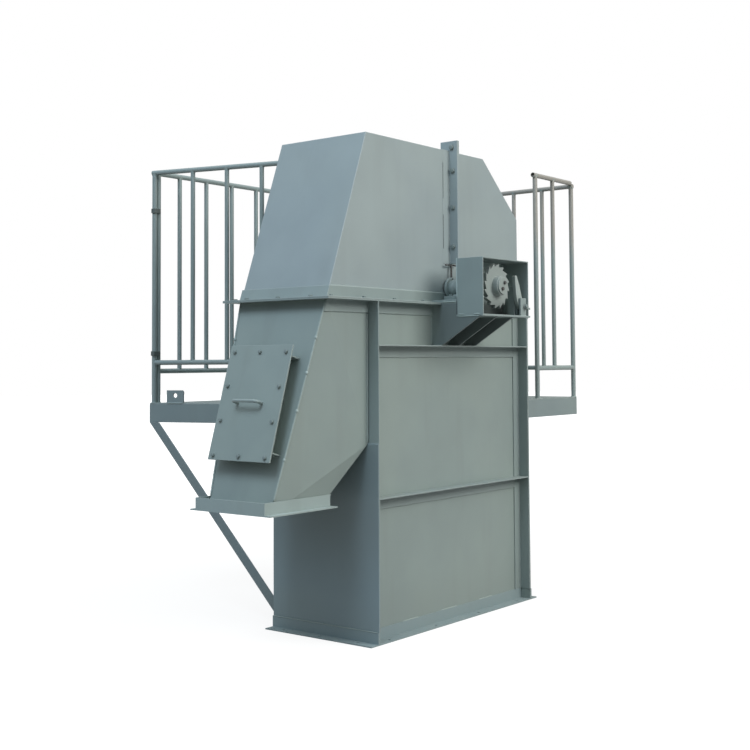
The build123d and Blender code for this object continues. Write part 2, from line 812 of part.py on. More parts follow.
# Pawl: an eye and a nose joined by their common tangents, hung clear of the wheel
pawl_back = wheel_front - (wheel_t + pawl_t) / 2
nose_x = pawl_x - pawl_length * sin(radians(pawl_lean))
nose_z = pawl_z + pawl_length * cos(radians(pawl_lean))
with BuildPart() as pawl:
    with BuildSketch(Plane.XZ.offset(pawl_back)):
        with Locations((pawl_x, pawl_z)):
            Circle(pawl_eye_r)
        with Locations((nose_x, nose_z)):
            Circle(pawl_nose_r)
        make_hull()
        with Locations((pawl_x, pawl_z)):
            Circle(pin_r + running_fit, mode=Mode.SUBTRACT)
    extrude(amount=pawl_t)
pawl.part.label = "pawl"
export_step(pawl.part, "parts/pawl.step")

# The pawl's lugs on the shelf, one on each side of it, a stop bar, and the bolt that it turns on
lug_front = pawl_back - pawl_side_gap
front_lug_back = pawl_back + pawl_t + front_lug_gap
with BuildPart() as pawl_lug:
    with BuildSketch(Plane.XZ.offset(lug_front - lug_t)):
        with Locations((pawl_x, (shelf_top + pawl_z) / 2)):
            Rectangle(2 * lug_half, pawl_z - shelf_top)
        with Locations((pawl_x, pawl_z)):
            Circle(lug_over_pin)
            Circle(pin_r + running_fit, mode=Mode.SUBTRACT)
    extrude(amount=lug_t)
    with BuildSketch(Plane.XZ.offset(front_lug_back)):
        with Locations((pawl_x + (front_lug_right - front_lug_left) / 2,
                        shelf_top + front_lug_height / 2)):
            Rectangle(front_lug_left + front_lug_right, front_lug_height)
        with Locations((pawl_x, pawl_z)):
            Circle(pin_r + running_fit, mode=Mode.SUBTRACT)
    extrude(amount=front_lug_t)
    with BuildSketch(Plane.XZ.offset(pawl_back - upright_gap - upright_depth)):
        with Locations((upright_x + upright_width / 2, shelf_top + upright_height / 2)):
            Rectangle(upright_width, upright_height)
    extrude(amount=upright_depth)
pawl_lug.part.label = "pawl_lug"
export_step(pawl_lug.part, "parts/pawl_lug.step")

pin_front = front_lug_back + front_lug_t
with BuildPart() as pawl_pin:
    with BuildSketch(Plane.XZ.offset(lug_front - lug_t)):
        with Locations((pawl_x, pawl_z)):
            Circle(pin_r)
    extrude(amount=pin_front - lug_front + lug_t)
    with BuildSketch(Plane.XZ.offset(pin_front)):
        with Locations((pawl_x, pawl_z)):
            Circle(pin_head_r)
    extrude(amount=pin_head_t)
pawl_pin.part.label = "pawl_pin"
export_step(pawl_pin.part, "parts/pawl_pin.step")

# Platform: a deck on channels round two sides of the casing
deck_left = -half_l + platform_left_inset
deck_back = half_w + back_wing_depth
deck_right = half_l + side_wing_width
deck_near = -half_w + side_wing_near_inset
channel_top = deck_z - deck_t
channel_low = channel_top - channel_depth


def channel_section(web, inward):
    """Corner points of a channel whose web stands at one place and whose flanges point inward."""
    return (
        (web, channel_low),
        (web, channel_top),
        (web + inward * channel_flange, channel_top),
        (web + inward * channel_flange, channel_top - channel_t),
        (web + inward * channel_t, channel_top - channel_t),
        (web + inward * channel_t, channel_low + channel_t),
        (web + inward * channel_flange, channel_low + channel_t),
        (web + inward * channel_flange, channel_low),
    )


skew = radians(platform_end_skew)
end_corner = Vector(deck_left, deck_back, 0)
end_run = Vector(sin(skew), -cos(skew), 0)
end_inward = Vector(cos(skew), sin(skew), 0)
end_section = Plane(origin=end_corner, x_dir=end_inward, z_dir=end_run)
end_face = Plane(origin=end_corner, x_dir=end_run, z_dir=-end_inward)
end_root_x = deck_left + (deck_back - web_line) * tan(skew)
back_left_mitre = Plane(origin=end_corner, z_dir=Vector(1, 0, 0) - end_run)
back_right_mitre = Plane(origin=(deck_right, deck_back, 0), z_dir=(1, -1, 0))
near_right_mitre = Plane(origin=(deck_right, deck_near, 0), z_dir=(1, 1, 0))

with BuildPart() as channel_end:
    with BuildSketch(end_section):
        Polygon(*channel_section(0, 1), align=None)
    extrude(amount=2 * (deck_back - half_w))
    split(bisect_by=back_left_mitre, keep=Keep.BOTTOM)
    split(bisect_by=Plane.XZ.offset(-half_w), keep=Keep.BOTTOM)
channel_end.part.label = "channel_end"
export_step(channel_end.part, "parts/channel_end.step")

with BuildPart() as channel_back:
    with BuildSketch(Plane.YZ.offset(deck_left)):
        Polygon(*channel_section(deck_back, -1), align=None)
    extrude(amount=deck_right - deck_left)
    split(bisect_by=back_left_mitre, keep=Keep.TOP)
    split(bisect_by=back_right_mitre, keep=Keep.BOTTOM)
channel_back.part.label = "channel_back"
export_step(channel_back.part, "parts/channel_back.step")

with BuildPart() as channel_right:
    with BuildSketch(Plane.XZ.offset(-deck_back)):
        Polygon(*channel_section(deck_right, -1), align=None)
    extrude(amount=deck_back - deck_near)
    split(bisect_by=back_right_mitre, keep=Keep.TOP)
    split(bisect_by=near_right_mitre, keep=Keep.TOP)
channel_right.part.label = "channel_right"
export_step(channel_right.part, "parts/channel_right.step")

with BuildPart() as channel_near:
    with BuildSketch(Plane.YZ.offset(half_l)):
        Polygon(*channel_section(deck_near, 1), align=None)
    extrude(amount=side_wing_width)
    split(bisect_by=near_right_mitre, keep=Keep.BOTTOM)
channel_near.part.label = "channel_near"
export_step(channel_near.part, "parts/channel_near.step")

# Channels along the casing walls, the side one running on to the back channel
with BuildPart() as wall_channels:
    with BuildSketch(Plane.YZ.offset(deck_left)):
        Polygon(*channel_section(web_line, 1), align=None)
    extrude(amount=inner_l - angle_t - deck_left)
    split(bisect_by=end_face, keep=Keep.BOTTOM)
    with BuildSketch(Plane.XZ.offset(-deck_back + channel_flange)):
        Polygon(*channel_section(half_l, 1), align=None)
    extrude(amount=deck_back - deck_near - 2 * channel_flange)
wall_channels.part.label = "wall_channels"
export_step(wall_channels.part, "parts/wall_channels.step")

with BuildPart() as platform_deck:
    with BuildSketch(Plane.XY.offset(channel_top)):
        Polygon(
            (end_root_x, web_line),
            (deck_left, deck_back),
            (deck_right, deck_back),
            (deck_right, deck_near),
            (half_l, deck_near),
            (half_l, half_w),
            (inner_l - angle_t, half_w),
            (inner_l - angle_t, web_line),
            align=None,
        )
    extrude(amount=deck_t)
platform_deck.part.label = "platform_deck"
export_step(platform_deck.part, "parts/platform_deck.step")

# Diagonal braces of single angle from the casing's foot to the platform's edge
brace_reach = deck_back - half_w + brace_foot_inset
brace_angle = atan2(channel_low - angle_t, brace_reach)
brace_span = brace_leg / sin(brace_angle)
brace_toe = brace_t / sin(brace_angle)
brace_right_x = inner_l - back_brace_right_inset
with BuildPart() as back_braces:
    for brace_x, inward in ((deck_left, 1), (brace_right_x, -1)):
        for width, band in ((brace_t, brace_span), (brace_leg, brace_toe)):
            with BuildSketch(Plane.YZ.offset(brace_x)):
                Polygon(
                    (deck_back, channel_low),
                    (deck_back - band, channel_low),
                    (deck_back - band - brace_reach, angle_t),
                    (deck_back - brace_reach, angle_t),
                    align=None,
                )
            extrude(amount=inward * width)
    split(bisect_by=Plane.XZ.offset(-web_line), keep=Keep.BOTTOM)
back_braces.part.label = "back_braces"
export_step(back_braces.part, "parts/back_braces.step")

side_angle = radians(side_brace_slope)
side_span = brace_leg / sin(side_angle)
side_toe = brace_t / sin(side_angle)
side_drop = side_wing_width * tan(side_angle)
side_brace_y = half_w - side_brace_inset
with BuildPart() as side_brace:
    for width, band in ((brace_t, side_span), (brace_leg, side_toe)):
        with BuildSketch(Plane.XZ.offset(-side_brace_y)):
            Polygon(
                (deck_right, channel_low),
                (deck_right - band, channel_low),
                (half_l, channel_low - side_drop + band * tan(side_angle)),
                (half_l, channel_low - side_drop),
                align=None,
            )
        extrude(amount=width)
side_brace.part.label = "side_brace"
export_step(side_brace.part, "parts/side_brace.step")

# Lifting lug on the end channel
with BuildPart() as lifting_lug:
    with BuildSketch(end_face):
        with Locations((lifting_lug_inset, deck_z + lifting_lug_height / 2)):
            top = Rectangle(lifting_lug_width, lifting_lug_height)
        fillet(top.vertices().sort_by(Axis.Z)[-2:], radius=lifting_lug_round)
        with Locations((lifting_lug_inset, deck_z + lifting_hole_z)):
            Circle(lifting_hole_r, mode=Mode.SUBTRACT)
    extrude(amount=-lifting_lug_t)
lifting_lug.part.label = "lifting_lug"
export_step(lifting_lug.part, "parts/lifting_lug.step")

# Railing panels of square tube with round bars
rail_top = deck_z + rail_height
rail_mid = rail_top - tube / 2
tube_bore = tube - 2 * tube_wall
post_height = rail_height - tube
low_z = deck_z + low_rail_z
end_low_z = deck_z + end_low_rail_z
bar_foot = low_z + tube / 2
end_bar_foot = end_low_z + tube / 2
bar_height = rail_top - tube - bar_foot
end_bar_height = rail_top - tube - end_bar_foot
post_mid = deck_z + post_height / 2

end_panel_length = end_bar_first + end_bar_count * end_bar_pitch + tube
end_start = tube * tan(skew)
end_panel_mid = end_start + end_panel_length / 2
with BuildPart() as railing_end:
    with BuildSketch(end_face):
        with Locations((end_panel_mid, rail_mid), (end_panel_mid, end_low_z)):
            Rectangle(end_panel_length, tube)
        with Locations((end_panel_mid, post_mid)):
            with GridLocations(end_panel_length - tube, 0, 2, 1):
                Rectangle(tube, post_height)
    extrude(amount=-tube)
    with BuildSketch(end_face.offset(-tube_wall)):
        with Locations((end_panel_mid, rail_mid), (end_panel_mid, end_low_z)):
            Rectangle(end_panel_length - 2 * tube_wall, tube_bore)
        with Locations((end_panel_mid, post_mid)):
            with GridLocations(end_panel_length - tube, 0, 2, 1):
                Rectangle(tube_bore, post_height)
    extrude(amount=-tube_bore, mode=Mode.SUBTRACT)
    with BuildSketch(Plane.XY.offset(end_bar_foot)):
        for number in range(end_bar_count):
            run = end_start + tube / 2 + end_bar_first + number * end_bar_pitch
            spot = end_corner + end_run * run + end_inward * (tube / 2)
            with Locations((spot.X, spot.Y)):
                Circle(bar_r)
    extrude(amount=end_bar_height)
railing_end.part.label = "railing_end"
export_step(railing_end.part, "parts/railing_end.step")

back_start = deck_left + (end_start + tube) * sin(skew) + tube * cos(skew) + post_gap
back_end = deck_right - tube - post_gap
back_panel_length = back_end - back_start
back_panel_mid = (back_start + back_end) / 2
with BuildPart() as railing_back:
    with BuildSketch(Plane.XZ.offset(-deck_back)):
        with Locations((back_panel_mid, rail_mid), (back_panel_mid, low_z)):
            Rectangle(back_panel_length, tube)
        with Locations((back_panel_mid, post_mid)):
            with GridLocations(back_panel_length - tube, 0, 2, 1):
                Rectangle(tube, post_height)
    extrude(amount=tube)
    with BuildSketch(Plane.XZ.offset(-deck_back + tube_wall)):
        with Locations((back_panel_mid, rail_mid), (back_panel_mid, low_z)):
            Rectangle(back_panel_length - 2 * tube_wall, tube_bore)
        with Locations((back_panel_mid, post_mid)):
            with GridLocations(back_panel_length - tube, 0, 2, 1):
                Rectangle(tube_bore, post_height)
    extrude(amount=tube_bore, mode=Mode.SUBTRACT)
    back_bar_count = 1 + int((back_panel_length - tube - back_bar_first) / bar_pitch)
    with BuildSketch(Plane.XY.offset(bar_foot)):
        for number in range(back_bar_count):
            with Locations((back_start + tube / 2 + back_bar_first + number * bar_pitch,
                            deck_back - tube / 2)):
                Circle(bar_r)
    extrude(amount=bar_height)
railing_back.part.label = "railing_back"
export_step(railing_back.part, "parts/railing_back.step")

side_panel_length = deck_back - deck_near
side_panel_mid = (deck_back + deck_near) / 2
with BuildPart() as railing_side:
    with BuildSketch(Plane.YZ.offset(deck_right - tube)):
        with Locations((side_panel_mid, rail_mid), (side_panel_mid, low_z)):
            Rectangle(side_panel_length, tube)
        with Locations((side_panel_mid, post_mid)):
            with GridLocations(side_panel_length - tube, 0, 2, 1):
                Rectangle(tube, post_height)
    extrude(amount=tube)
    with BuildSketch(Plane.YZ.offset(deck_right - tube + tube_wall)):
        with Locations((side_panel_mid, rail_mid), (side_panel_mid, low_z)):
            Rectangle(side_panel_length - 2 * tube_wall, tube_bore)
        with Locations((side_panel_mid, post_mid)):
            with GridLocations(side_panel_length - tube, 0, 2, 1):
                Rectangle(tube_bore, post_height)
    extrude(amount=tube_bore, mode=Mode.SUBTRACT)
    side_bar_count = int((side_panel_length - tube) / bar_pitch)
    with BuildSketch(Plane.XY.offset(bar_foot)):
        for number in range(side_bar_count):
            with Locations((deck_right - tube / 2,
                            deck_near + tube / 2 + (number + 1) * bar_pitch)):
                Circle(bar_r)
    extrude(amount=bar_height)
railing_side.part.label = "railing_side"
export_step(railing_side.part, "parts/railing_side.step")

# Short return panel at the near end, its top rail cut off open past the inner post
near_end = deck_right - tube
near_start = near_end - near_panel_length + tube
near_post_x = near_start + tube / 2
near_mid = (near_start + near_end) / 2
near_rail_start = near_start - near_rail_overrun
with BuildPart() as railing_near:
    with BuildSketch(Plane.XZ.offset(-deck_near - tube)):
        with Locations(((near_rail_start + near_end) / 2, rail_mid)):
            Rectangle(near_end - near_rail_start, tube)
        with Locations((near_mid, low_z)):
            Rectangle(near_end - near_start, tube)
        with Locations((near_post_x, post_mid)):
            Rectangle(tube, post_height)
    extrude(amount=tube)
    with BuildSketch(Plane.XZ.offset(-deck_near - tube + tube_wall)):
        with Locations(((near_rail_start + near_end) / 2, rail_mid)):
            Rectangle(near_end - near_rail_start, tube_bore)
        with Locations((near_mid, low_z)):
            Rectangle(near_end - near_start - 2 * tube_wall, tube_bore)
        with Locations((near_post_x, post_mid)):
            Rectangle(tube_bore, post_height)
    extrude(amount=tube_bore, mode=Mode.SUBTRACT)
    with BuildSketch(Plane.XY.offset(bar_foot)):
        with Locations((near_mid, deck_near + tube / 2)):
            Circle(bar_r)
    extrude(amount=bar_height)
railing_near.part.label = "railing_near"
export_step(railing_near.part, "parts/railing_near.step")
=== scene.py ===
"""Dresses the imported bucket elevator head: paint, eased edges, welds, bolts, rails and a plain studio."""
import math

import bmesh
import bpy
import numpy as np
from bpy.props import FloatProperty, FloatVectorProperty, PointerProperty
from mathutils import Matrix, Vector


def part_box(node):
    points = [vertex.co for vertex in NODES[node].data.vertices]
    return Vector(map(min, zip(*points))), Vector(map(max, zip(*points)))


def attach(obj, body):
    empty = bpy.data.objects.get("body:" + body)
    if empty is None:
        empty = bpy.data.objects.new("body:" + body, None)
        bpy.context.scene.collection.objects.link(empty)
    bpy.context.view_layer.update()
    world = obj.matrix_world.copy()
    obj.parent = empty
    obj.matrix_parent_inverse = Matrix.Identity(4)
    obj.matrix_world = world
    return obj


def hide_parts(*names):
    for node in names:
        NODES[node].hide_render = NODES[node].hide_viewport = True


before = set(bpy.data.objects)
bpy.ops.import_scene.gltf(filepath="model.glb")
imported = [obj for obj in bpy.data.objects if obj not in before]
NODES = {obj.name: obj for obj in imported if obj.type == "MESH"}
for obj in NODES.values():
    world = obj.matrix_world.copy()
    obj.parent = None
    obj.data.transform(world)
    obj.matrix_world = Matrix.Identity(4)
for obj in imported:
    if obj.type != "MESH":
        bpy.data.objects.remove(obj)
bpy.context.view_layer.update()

bl_info = {
    "name": "Elevator head dressing",
    "version": (1, 0, 0),
    "blender": (4, 5, 0),
    "location": "View3D > Sidebar > Elevator head",
    "description": "Paint, welds, bolts, rails and studio for the head section of a bucket elevator",
    "category": "Mesh",
}

# Node corners that the dressing is measured from, in metres
WALLS = np.array(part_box("wide_walls"))
CASING = np.array(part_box("wall_rear"))
FOOT = np.array(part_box("base_flange"))
RING = np.array(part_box("casing_top_flange"))
HOOD_RING = np.array(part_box("hood_flange"))
JOINT_FRONT = np.array(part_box("split_flange_front"))
JOINT_REAR = np.array(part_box("split_flange_rear"))
DECK = np.array(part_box("platform_deck"))
SHELF = np.array(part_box("backstop_shelf"))
GUARD = np.array(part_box("backstop_guard"))
DOOR = np.array(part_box("inspection_door"))
OUTLET = np.array(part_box("outlet_flange"))
SHAFT = np.array(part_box("head_shaft"))
END_PLATE = np.array(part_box("hub_end_plate"))
PIN = np.array(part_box("pawl_pin"))
BEARINGS = np.array(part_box("bearings"))
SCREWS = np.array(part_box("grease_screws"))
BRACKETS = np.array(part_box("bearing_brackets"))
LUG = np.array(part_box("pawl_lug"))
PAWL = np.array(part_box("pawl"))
WALL_Y = WALLS[1, 1]
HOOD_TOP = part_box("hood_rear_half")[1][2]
SHAFT_Z = (SHAFT[0, 2] + SHAFT[1, 2]) / 2

# Plate thickness, leg of the corner angles, length of the door's neck, edges of the bearing gussets
SHEET = 0.005
ANGLE_LEG = 0.05
NECK_DEPTH = 0.057
GUSSET_EDGES = (-0.130, -0.122, -0.004, 0.004, 0.122, 0.130)

# The photo's width in pixels, which the camera is given in, and the floor's radius
IMAGE = 750.0
FLOOR_RADIUS = 40

# The chute's front plate leans from the ring down to the outlet
LEAN_TOP = np.array([RING[0, 0] + ANGLE_LEG, 0.0, RING[1, 2]])
LEAN_LOW = np.array([OUTLET[0, 0] + ANGLE_LEG, 0.0, OUTLET[0, 2]])
DOWN = (LEAN_LOW - LEAN_TOP) / np.linalg.norm(LEAN_LOW - LEAN_TOP)
OUT = np.array([DOWN[2], 0.0, -DOWN[0]])
DOOR_MIDDLE = (DOOR[0] + DOOR[1]) / 2

# The platform's left end runs askew from its back corner to the casing
SKEW = math.radians(15)
CORNER = np.array([DECK[0, 0], DECK[1, 1], DECK[1, 2]])
END_RUN = np.array([math.sin(SKEW), -math.cos(SKEW), 0.0])
END_IN = np.array([math.cos(SKEW), math.sin(SKEW), 0.0])


def tone(name, description, default):
    """Colour setting."""
    return FloatVectorProperty(name=name, description=description, subtype="COLOR", size=3, min=0, max=1,
                               default=default)


def measure(name, description, low, high, default):
    """Length setting between two limits, in metres."""
    return FloatProperty(name=name, description=description, unit="LENGTH", min=low, max=high,
                         default=default)


class PaintSettings(bpy.types.PropertyGroup):
    """Colours and finish of the coat."""

    coat: tone("Coat", "Paint on the plates", (0.260, 0.316, 0.298))
    # the hood's coat is paler and bluer than the walls': painted sky light on the upper plates
    hood: tone("Hood coat", "Paint on the hood's plates", (0.288, 0.342, 0.346))
    frame_coat: tone("Section coat", "Paint on angles, channels and tubes", (0.252, 0.308, 0.298))
    wheel: tone("Ratchet coat", "Pale paint on the ratchet and pawl", (0.275, 0.318, 0.300))
    steel: tone("Bare steel", "Machined steel under grease", (0.42, 0.42, 0.41))
    roughness: FloatProperty(name="Roughness", description="Roughness of the dry coat",
                             min=0, max=1, default=0.52)


class PlateSettings(bpy.types.PropertyGroup):
    """How far plate edges are eased."""

    edge: measure("Edge", "Rounding of a cut plate edge", 0.0002, 0.01, 0.0012)
    corner: measure("Corner", "Rounding of a welded or folded corner", 0.0005, 0.02, 0.0025)


class BoltSettings(bpy.types.PropertyGroup):
    """Sizes of the flange bolts."""

    thread: measure("Thread", "Thread diameter of the flange bolts", 0.004, 0.03, 0.012)
    flats: measure("Across flats", "Width of the hexagon over its flats", 0.006, 0.05, 0.019)
    ring_thread: measure("Ring thread", "Thread diameter of the ring's bolts", 0.004, 0.03, 0.009)
    ring_flats: measure("Ring across flats", "Width of the ring bolts' heads", 0.006, 0.05, 0.015)
    small_thread: measure("Small thread", "Thread diameter of the door's bolts", 0.004, 0.03, 0.010)


class WeldSettings(bpy.types.PropertyGroup):
    """Size of the weld beads."""

    radius: measure("Radius", "Half the width of a bead", 0.001, 0.01, 0.0035)
    step: measure("Step", "Length between the sections of a bead", 0.002, 0.05, 0.007)


class RailSettings(bpy.types.PropertyGroup):
    """Sizes of the railing's pipes and bars."""

    pipe: measure("Pipe", "Outside diameter of rails and posts", 0.01, 0.08, 0.0235)
    wall: measure("Pipe wall", "Wall thickness of the pipe", 0.0005, 0.01, 0.002)
    bar: measure("Bar radius", "Radius of the upright bars", 0.003, 0.02, 0.0105)


class StageSettings(bpy.types.PropertyGroup):
    """Camera, floor and light."""

    eye: FloatVectorProperty(name="Eye", description="Where the camera stands", subtype="XYZ",
                             unit="LENGTH", size=3, default=(-4.2838, -3.2695, 1.1150))
    yaw: FloatProperty(name="Yaw", description="Heading of the camera from +X", subtype="ANGLE",
                       default=0.6535)
    pitch: FloatProperty(name="Pitch", description="Camera's look upwards", subtype="ANGLE",
                         default=0.0482)
    roll: FloatProperty(name="Roll", description="Camera's turn about its own axis", subtype="ANGLE",
                        default=-0.0073)
    focal: FloatProperty(name="Focal length", description="In pixels of a 750 pixel image",
                         min=100, default=1192.2)
    centre: FloatVectorProperty(name="Principal point", description="In pixels from the top left",
                                size=2, default=(404.86, 305.22))
    sky: FloatProperty(name="Sky", description="Strength of the light from all round", min=0, default=0.62)


def stack(rings, capped=True):
    """Skin over closed rings of points: quad (i, j) joins rings[i][j], [i][j+1], [i+1][j+1], [i+1][j]."""
    count, around = rings.shape[:2]
    index = np.arange(count * around).reshape(count, around)
    right = np.roll(index, -1, axis=1)
    quads = np.stack([index[:-1], right[:-1], right[1:], index[1:]], axis=-1).reshape(-1, 4)
    faces = [quads]
    if capped:
        faces.append(np.stack([index[0, ::-1], index[-1]]))
    return rings.reshape(-1, 3), faces


def spun(profile, around=32):
    """Rings about Z: point (i, j) = (r_i cos a_j, r_i sin a_j, z_i), a_j = 2 pi j / around."""
    profile = np.asarray(profile, float)
    angle = np.arange(around) * (2 * np.pi / around)
    rings = np.empty((len(profile), around, 3))
    rings[..., 0] = profile[:, :1] * np.cos(angle)
    rings[..., 1] = profile[:, :1] * np.sin(angle)
    rings[..., 2] = profile[:, 1:]
    return rings


def lathe(profile, around=32):
    """Turned shape about Z, closed at both ends."""
    return stack(spun(profile, around))


def join(shapes):
    """One shape of many: each shape's face numbers are raised by the points before it."""
    points, faces, base = [], [], 0
    for some, groups in shapes:
        points.append(some)
        faces += [group + base for group in groups]
        base += len(some)
    return np.concatenate(points), faces


def turned(axes, spin=0.0):
    """Rotation matrices whose third column is each axis; the first is turned by spin about it."""
    axes = np.atleast_2d(np.asarray(axes, float))
    axes = axes / np.linalg.norm(axes, axis=1, keepdims=True)
    helper = np.where(np.abs(axes[:, 2:]) > 0.9, [[1.0, 0.0, 0.0]], [[0.0, 0.0, 1.0]])
    side = np.cross(helper, axes)
    side /= np.linalg.norm(side, axis=1, keepdims=True)
    other = np.cross(axes, side)
    spin = np.broadcast_to(np.asarray(spin, float), (len(axes),))[:, None]
    first = side * np.cos(spin) + other * np.sin(spin)
    return np.stack([first, np.cross(axes, first), axes], axis=-1)


def copies(shape, places, axes, spin=0.0):
    """A shape at many places: p' = place + R p, with R from turned(axes, spin)."""
    points, faces = shape
    places = np.atleast_2d(np.asarray(places, float))
    axes = np.broadcast_to(np.asarray(axes, float), places.shape)
    turns = turned(axes, spin)
    moved = np.einsum("mij,pj->mpi", turns, points) + places[:, None]
    shift = (np.arange(len(places)) * len(points))[:, None, None]
    return moved.reshape(-1, 3), [(group[None] + shift).reshape(-1, group.shape[1]) for group in faces]


def hexagon(flats, count=24):
    """Radius of a hexagon at count angles: r = flats / 2 / cos(((a + 30) mod 60) - 30 degrees)."""
    angle = np.arange(count) * (2 * np.pi / count)
    return angle, flats / 2 / np.cos((angle + np.pi / 6) % (np.pi / 3) - np.pi / 6)


def hex_block(flats, low, high, chamfer_low=False):
    """Hexagon from low to high whose corners drop at 30 degrees: z = high - (r - 0.475 flats) tan 30."""
    angle, reach = hexagon(flats)
    drop = (reach - 0.475 * flats) * math.tan(math.radians(30))
    flat = np.full_like(reach, 0.475 * flats)
    rows = [(reach, np.full_like(reach, low)), (reach, high - drop), (flat, np.full_like(reach, high))]
    if chamfer_low:
        rows = [(flat, np.full_like(reach, low)), (reach, low + drop)] + rows[1:]
    rings = np.stack([np.stack([r * np.cos(angle), r * np.sin(angle), z], axis=-1) for r, z in rows])
    return stack(rings)


def bolt(thread, flats, grip=None):
    """Washer and hexagon head above z = 0; with a grip also washer, nut and thread end below -grip."""
    washer, lip = 0.0022, 0.0004
    wide = flats * 0.63
    disc = [(wide - lip, 0.0), (wide, lip), (wide, washer - lip), (wide - lip, washer)]
    shapes = [lathe(disc, 24), hex_block(flats, washer, washer + 0.62 * thread)]
    if grip is not None:
        under = -grip - washer
        shapes.append(lathe([(r, z + under) for r, z in disc], 24))
        shapes.append(hex_block(flats, under - 0.85 * thread, under, True))
        tip = under - 0.85 * thread
        half = thread / 2
        shapes.append(lathe([(half * 0.8, tip - 0.006), (half, tip - 0.0045), (half, tip + 0.001)], 16))
    return join(shapes)


def bead(start, end, radius, step, seed):
    """Bead along a line: radius r(s) = R taper(s) (1 + 0.10 sin(s / 2 mm) + small noise), six-sided."""
    start, end = np.asarray(start, float), np.asarray(end, float)
    length = np.linalg.norm(end - start)
    count = max(4, int(length / step) + 1)
    rng = np.random.default_rng(seed)
    along = np.linspace(0, 1, count)
    reach = np.minimum(along, 1 - along) * length
    taper = np.sqrt(np.clip(reach / radius, 0.06, 1.0))
    uneven = 1 + 0.10 * np.sin(along * length / 0.002) + rng.normal(0, 0.06, count)
    size = radius * taper * uneven
    angle = np.arange(6) * (np.pi / 3)
    turn = turned(end - start)[0]
    ring = np.stack([np.cos(angle), np.sin(angle), np.zeros(6)], axis=-1) @ turn.T
    rings = start + along[:, None, None] * (end - start) + size[:, None, None] * ring
    return stack(rings)


def tower(rows, steps=3):
    """Rounded rectangles stacked in Z: row (x0, x1, y0, y1, c, z) with quarter arcs of radius c."""
    low_x, high_x, low_y, high_y, corner, level = np.asarray(rows, float).T[:, :, None]
    quarter = np.linspace(0, np.pi / 2, steps + 1)
    angle = (quarter[None] + np.arange(4)[:, None] * np.pi / 2).ravel()
    right = np.repeat([True, False, False, True], steps + 1)
    far = np.repeat([True, True, False, False], steps + 1)
    x = np.where(right, high_x - corner, low_x + corner) + corner * np.cos(angle)
    y = np.where(far, high_y - corner, low_y + corner) + corner * np.sin(angle)
    return stack(np.stack([x, y, level + 0 * angle], axis=-1))


def slab(low, high, corner, ease):
    """Block between two corners: outline arcs of one radius, its two ends drawn in by ease."""
    (x0, y0, z0), (x1, y1, z1) = low, high
    inner = (x0 + ease, x1 - ease, y0 + ease, y1 - ease, max(corner - ease, 0.0002))
    outer = (x0, x1, y0, y1, corner)
    return tower([inner + (z0,), outer + (z0 + ease,), outer + (z1 - ease,), inner + (z1,)])


def pipe(start, end, radius, around=18, bore=None):
    """Pipe along a line: profile (r - e, 0), (r, e), (r, L - e), (r - e, L); a bore opens its start."""
    start, end = np.asarray(start, float), np.asarray(end, float)
    length = np.linalg.norm(end - start)
    ease = 0.0005
    profile = [(radius - ease, 0.0), (radius, ease), (radius, length - ease), (radius - ease, length)]
    if bore is not None:
        profile = [(bore, 0.2 * length), (bore, ease), (bore + ease, 0.0)] + profile
    return copies(lathe(profile, around), start, end - start)


def collar(place, line, side, bar, rail, bead_radius, seed, around=20):
    """Bead where a bar meets a pipe: angle a, height side (sqrt(R^2 - (b sin a)^2)), six-sided section."""
    rng = np.random.default_rng(seed)
    angle = np.arange(around) * (2 * np.pi / around)
    small = np.arange(6) * (np.pi / 3)
    size = bead_radius * (1 + rng.normal(0, 0.09, around))
    reach = bar + size[:, None] * np.cos(small)
    seat = np.sqrt(np.clip(rail ** 2 - (reach * np.sin(angle)[:, None]) ** 2, 0, None)) if rail else 0.0
    line = np.asarray(line, float)
    across = np.cross((0.0, 0.0, 1.0), line)
    grid = (np.asarray(place, float) + (reach * np.cos(angle)[:, None])[..., None] * line
            + (reach * np.sin(angle)[:, None])[..., None] * across)
    grid[..., 2] += side * seat + side * size[:, None] * np.sin(small)
    index = np.arange(around * 6).reshape(around, 6)
    ahead, over = np.roll(index, -1, axis=0), np.roll(index, -1, axis=1)
    both = np.roll(ahead, -1, axis=1)
    quads = np.stack([index, ahead, both, over], axis=-1).reshape(-1, 4)
    return grid.reshape(-1, 3), [quads if side > 0 else quads[:, ::-1]]


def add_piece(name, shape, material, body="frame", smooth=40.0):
    """Puts a shape into a new object that rides on a body and takes its finish from a slot."""
    points, groups = shape
    faces = [face for group in groups for face in group.tolist()]
    mesh = bpy.data.meshes.new(name)
    mesh.from_pydata(points.tolist(), [], faces)
    mesh.validate()
    shade(mesh, smooth)
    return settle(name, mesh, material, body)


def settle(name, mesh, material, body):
    """Links a mesh as an object at the origin, with its material, body and slot."""
    piece = bpy.data.objects.new(name, mesh)
    bpy.context.scene.collection.objects.link(piece)
    mesh.materials.clear()
    mesh.materials.append(bpy.data.materials[material])
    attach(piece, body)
    return piece


def shade(mesh, angle):
    """Smooth faces, with the edges sharper than the angle marked sharp."""
    work = bmesh.new()
    work.from_mesh(mesh)
    limit = math.radians(angle)
    for edge in work.edges:
        edge.smooth = len(edge.link_faces) == 2 and edge.calc_face_angle(0.0) < limit
    for face in work.faces:
        face.smooth = True
    work.to_mesh(mesh)
    work.free()


